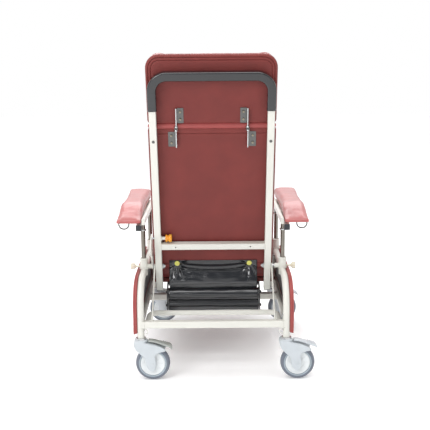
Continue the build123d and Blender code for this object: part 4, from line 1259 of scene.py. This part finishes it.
def caster_pieces(key):
    fork_low, fork_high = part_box(f"fork_{key}")
    x = fork_high[0] - 0.027
    y = (fork_low[1] + fork_high[1]) / 2
    hub_x = x - TRAIL
    loop = smooth_loop([(u * MM, z * MM) for u, z in SIDE_VIEW], 4)

    def at(u, depth, z):
        return (x - u, y + depth, z)

    fork = Shape()
    for way in (1, -1):
        heights = [
            (0.0008, 0.0176), (0.0, 0.0184), (0.0, 0.0228), (0.0006, 0.0244), (0.0018, 0.0254),
            (0.0032, 0.0257),
        ]
        rings = []
        for inset, depth in heights:
            rings.append([at(u, way * depth, z) for u, z in offset_loop(loop, inset)])
        fork.loft(rings)
    # the bridge over the wheel
    bridge = smooth_loop([(u * MM, z * MM) for u, z in BRIDGE], 4)
    rings = []
    for depth in (-0.0206, -0.0060, 0.0060, 0.0206):
        rings.append([at(u, depth, z) for u, z in bridge])
    fork.loft(rings)
    # bearing cup with its rings, and the axle's cap screws
    fork.lathe([(0.0235, 0.1440), (0.0245, 0.1465), (0.0240, 0.1490), (0.0205, 0.1500), (0.0195, 0.1512),
                (0.0188, 0.1520), (0.0135, 0.1524), (0.0055, 0.1524), (0.0052, 0.1300)],
               (x, y, 0), (0, 0, 1), 40, True)
    piece(f"caster_fork_{key}", fork, CASTER, f"caster_{key}", [f"fork_{key}"], sharp=50)
    screws = Shape()
    for way in (1, -1):
        screws.lathe([(0.0062, 0.0), (0.0062, 0.0003), (0.0056, 0.0007), (0.0002, 0.0009)],
                     (hub_x, y + way * 0.0257, WHEEL_R), (0, way, 0), 26)
    screws.tube([(hub_x, y - 0.025, WHEEL_R), (hub_x, y, WHEEL_R), (hub_x, y + 0.025, WHEEL_R)], 0.0038, 14)
    piece(f"caster_axle_{key}", screws, CASTER, f"caster_{key}")

    hub = Shape()
    face = [
        (0.0040, -0.0150), (0.0150, -0.0150), (0.0158, -0.0142), (0.0180, -0.0125), (0.0210, -0.0118),
        (0.0370, -0.0126),
        (0.0392, -0.0138), (0.0410, -0.0144), (0.0430, -0.0142), (0.0450, -0.0128),
    ]
    profile = face + [(r, -h) for r, h in reversed(face)]
    hub.lathe(profile, (hub_x, y, WHEEL_R), (0, 1, 0), 64, True)
    # shallow spokes moulded into both faces
    for way in (1, -1):
        for k in range(10):
            a = 2 * math.pi * k / 10
            path = []
            for r in (0.0175, 0.024, 0.031, 0.0375):
                path.append((hub_x + r * math.cos(a), y + way * 0.0118, WHEEL_R + r * math.sin(a)))
            hub.tube(path, 0.0014, 6)
    piece(f"wheel_hub_{key}", hub, HUB, f"wheel_{key}", [f"hub_{key}"], sharp=40)
    tyre = Shape()
    tread = [
        (0.0451, -0.0132), (0.0470, -0.0146), (0.0500, -0.0152), (0.0512, -0.0146), (0.0522, -0.0152),
        (0.0560, -0.0148), (0.0592, -0.0128), (0.0612, -0.0092), (0.0622, -0.0046), (0.0625, 0.0),
    ]
    tyre.lathe(tread + [(r, -h) for r, h in reversed(tread[:-1])], (hub_x, y, WHEEL_R), (0, 1, 0), 96, True)
    piece(f"wheel_tyre_{key}", tyre, TYRE, f"wheel_{key}", [f"tyre_{key}"], sharp=50)
    ring = Shape()
    lip = [(0.0452, 0.0140), (0.0462, 0.0150), (0.0490, 0.0157), (0.0508, 0.0154), (0.0510, 0.0146)]
    for way in (1, -1):
        ring.lathe([(r, way * h) for r, h in lip], (hub_x, y, WHEEL_R), (0, 1, 0), 96, True)
    piece(f"wheel_band_{key}", ring, TYRE_RING, f"wheel_{key}", sharp=0)

    # brake pedal: a curved lever with a ribbed tread
    spine = smooth_line([(u * MM, z * MM, 0) for u, z in LEVER], 6)
    pedal = Shape()
    rings = []
    for i, p in enumerate(spine):
        t = i / (len(spine) - 1)
        half = 0.0145 + 0.0075 * max(0.0, min(1.0, (t - 0.35) / 0.3))
        tip = 1 - 0.35 * max(0.0, (t - 0.93) / 0.07)
        thick = 0.0031 + 0.0006 * t
        if i in (0, len(spine) - 1):
            half *= 0.9
            thick *= 0.6
        ring = []
        for k in range(20):
            a = 2 * math.pi * k / 20
            cx, cz = math.cos(a), math.sin(a)
            ring.append(at(
                p.x, math.copysign(abs(cx) ** 0.45, cx) * half * tip,
                p.y + math.copysign(abs(cz) ** 0.6, cz) * thick,
            ))
        rings.append(ring)
    pedal.loft(rings)
    for k in range(4):
        u = 0.0800 + 0.0075 * k
        z = 0.1390 - 0.0025 * k
        pedal.tube([at(u, -0.0165, z), at(u, -0.008, z + 0.0006), at(u, 0.008, z + 0.0006), at(u, 0.0165, z)],
                   0.0015, 7)
    # The left-hand pedals take the darker copy: painted shade.
    tone = PEDAL_PAINTED_SHADE if key.endswith("left") else CASTER
    piece(f"brake_lever_{key}", pedal, tone, f"brake_{key}", [f"pedal_{key}"], sharp=55)


for key in CORNERS:
    caster_pieces(key)


# ---------------------------------------------------------------- studio
def studio():
    floor_mesh = bpy.data.meshes.new("floor")
    size = 14.0
    corners = [(-size, -size, 0), (size, -size, 0), (size, size, 0), (-size, size, 0)]
    floor_mesh.from_pydata(corners, [], [(0, 1, 2, 3)])
    floor = bpy.data.objects.new("floor", floor_mesh)
    SCENE.collection.objects.link(floor)
    floor_mat, tree, shader, place = nodes_of("floor_mat")
    cloud = add(tree, "ShaderNodeTexNoise", {"Vector": place, "Scale": 2.0, "Detail": 2.0})
    tone = ramp(tree, cloud.outputs["Fac"], [(0.3, (0.96, 0.96, 0.96)), (0.7, (0.98, 0.98, 0.98))])
    tree.links.new(tone, shader.inputs["Base Color"])
    shader.inputs["Roughness"].default_value = 0.7
    shader.inputs["Emission Color"].default_value = (1, 1, 1, 1)
    shader.inputs["Emission Strength"].default_value = 0.14
    floor_mesh.materials.append(floor_mat)

    world = bpy.data.worlds.new("studio")
    SCENE.world = world
    world.use_nodes = True
    back = world.node_tree.nodes["Background"]
    tree = world.node_tree
    way = add(tree, "ShaderNodeTexCoord").outputs["Generated"]
    parts = add(tree, "ShaderNodeSeparateXYZ", {"Vector": way})
    black, white = (0, 0, 0), (1, 1, 1)
    height = ramp(tree, parts.outputs["Z"], [(0.20, black), (0.34, white), (0.62, white), (0.8, black)])
    rear = ramp(tree, parts.outputs["Y"], [(0.25, black), (0.6, white)])
    dim = add(tree, "ShaderNodeMath", {0: height, 1: rear}, operation="MULTIPLY")
    tone = ramp(tree, dim.outputs[0], [(0.0, (1.0, 1.0, 1.0)), (1.0, (0.30, 0.31, 0.33))])
    tree.links.new(tone, back.inputs["Color"])
    back.inputs["Strength"].default_value = 1.0

    def softbox(name, at, aim, width, height, power):
        light = bpy.data.lights.new(name, "AREA")
        light.shape = "RECTANGLE"
        light.size = width
        light.size_y = height
        light.energy = power
        obj = bpy.data.objects.new(name, light)
        SCENE.collection.objects.link(obj)
        obj.location = at
        obj.rotation_euler = (Vector(aim) - Vector(at)).to_track_quat("-Z", "Y").to_euler()
        obj.visible_camera = False

    softbox("key", (1.9, 2.6, 2.3), (0, 0.2, 0.5), 1.3, 1.3, 42)
    softbox("top", (0.0, 0.5, 3.1), (0, 0.2, 0.5), 2.2, 2.0, 38)
    softbox("front", (0.0, -3.0, 2.7), (0, 0, 0.9), 3.0, 1.3, 42)

    softbox("streak", (0.42, 2.9, 1.45), (0.1, 0.2, 0.3), 0.3, 0.25, 1.4)

    SCENE.view_settings.view_transform = "Standard"
    SCENE.view_settings.look = "None"

    pitch = math.radians(11.24)
    yaw = math.radians(-0.05)
    roll = math.radians(0.45)
    forward = Vector((math.sin(yaw) * math.cos(pitch), -math.cos(yaw) * math.cos(pitch), -math.sin(pitch)))
    level = Vector((-math.cos(yaw), -math.sin(yaw), 0))
    down = forward.cross(level)
    right = level * math.cos(roll) + down * math.sin(roll)
    below = -level * math.sin(roll) + down * math.cos(roll)
    lens = bpy.data.cameras.new("camera")
    lens.sensor_width = 36.0
    lens.lens = 36.0 * 766.0 / 430.0
    camera = bpy.data.objects.new("camera", lens)
    SCENE.collection.objects.link(camera)
    turn = Matrix((right, -below, -forward)).transposed().to_4x4()
    camera.matrix_world = Matrix.Translation((-0.0059, 3.0808, 1.1361)) @ turn
    SCENE.camera = camera


studio()
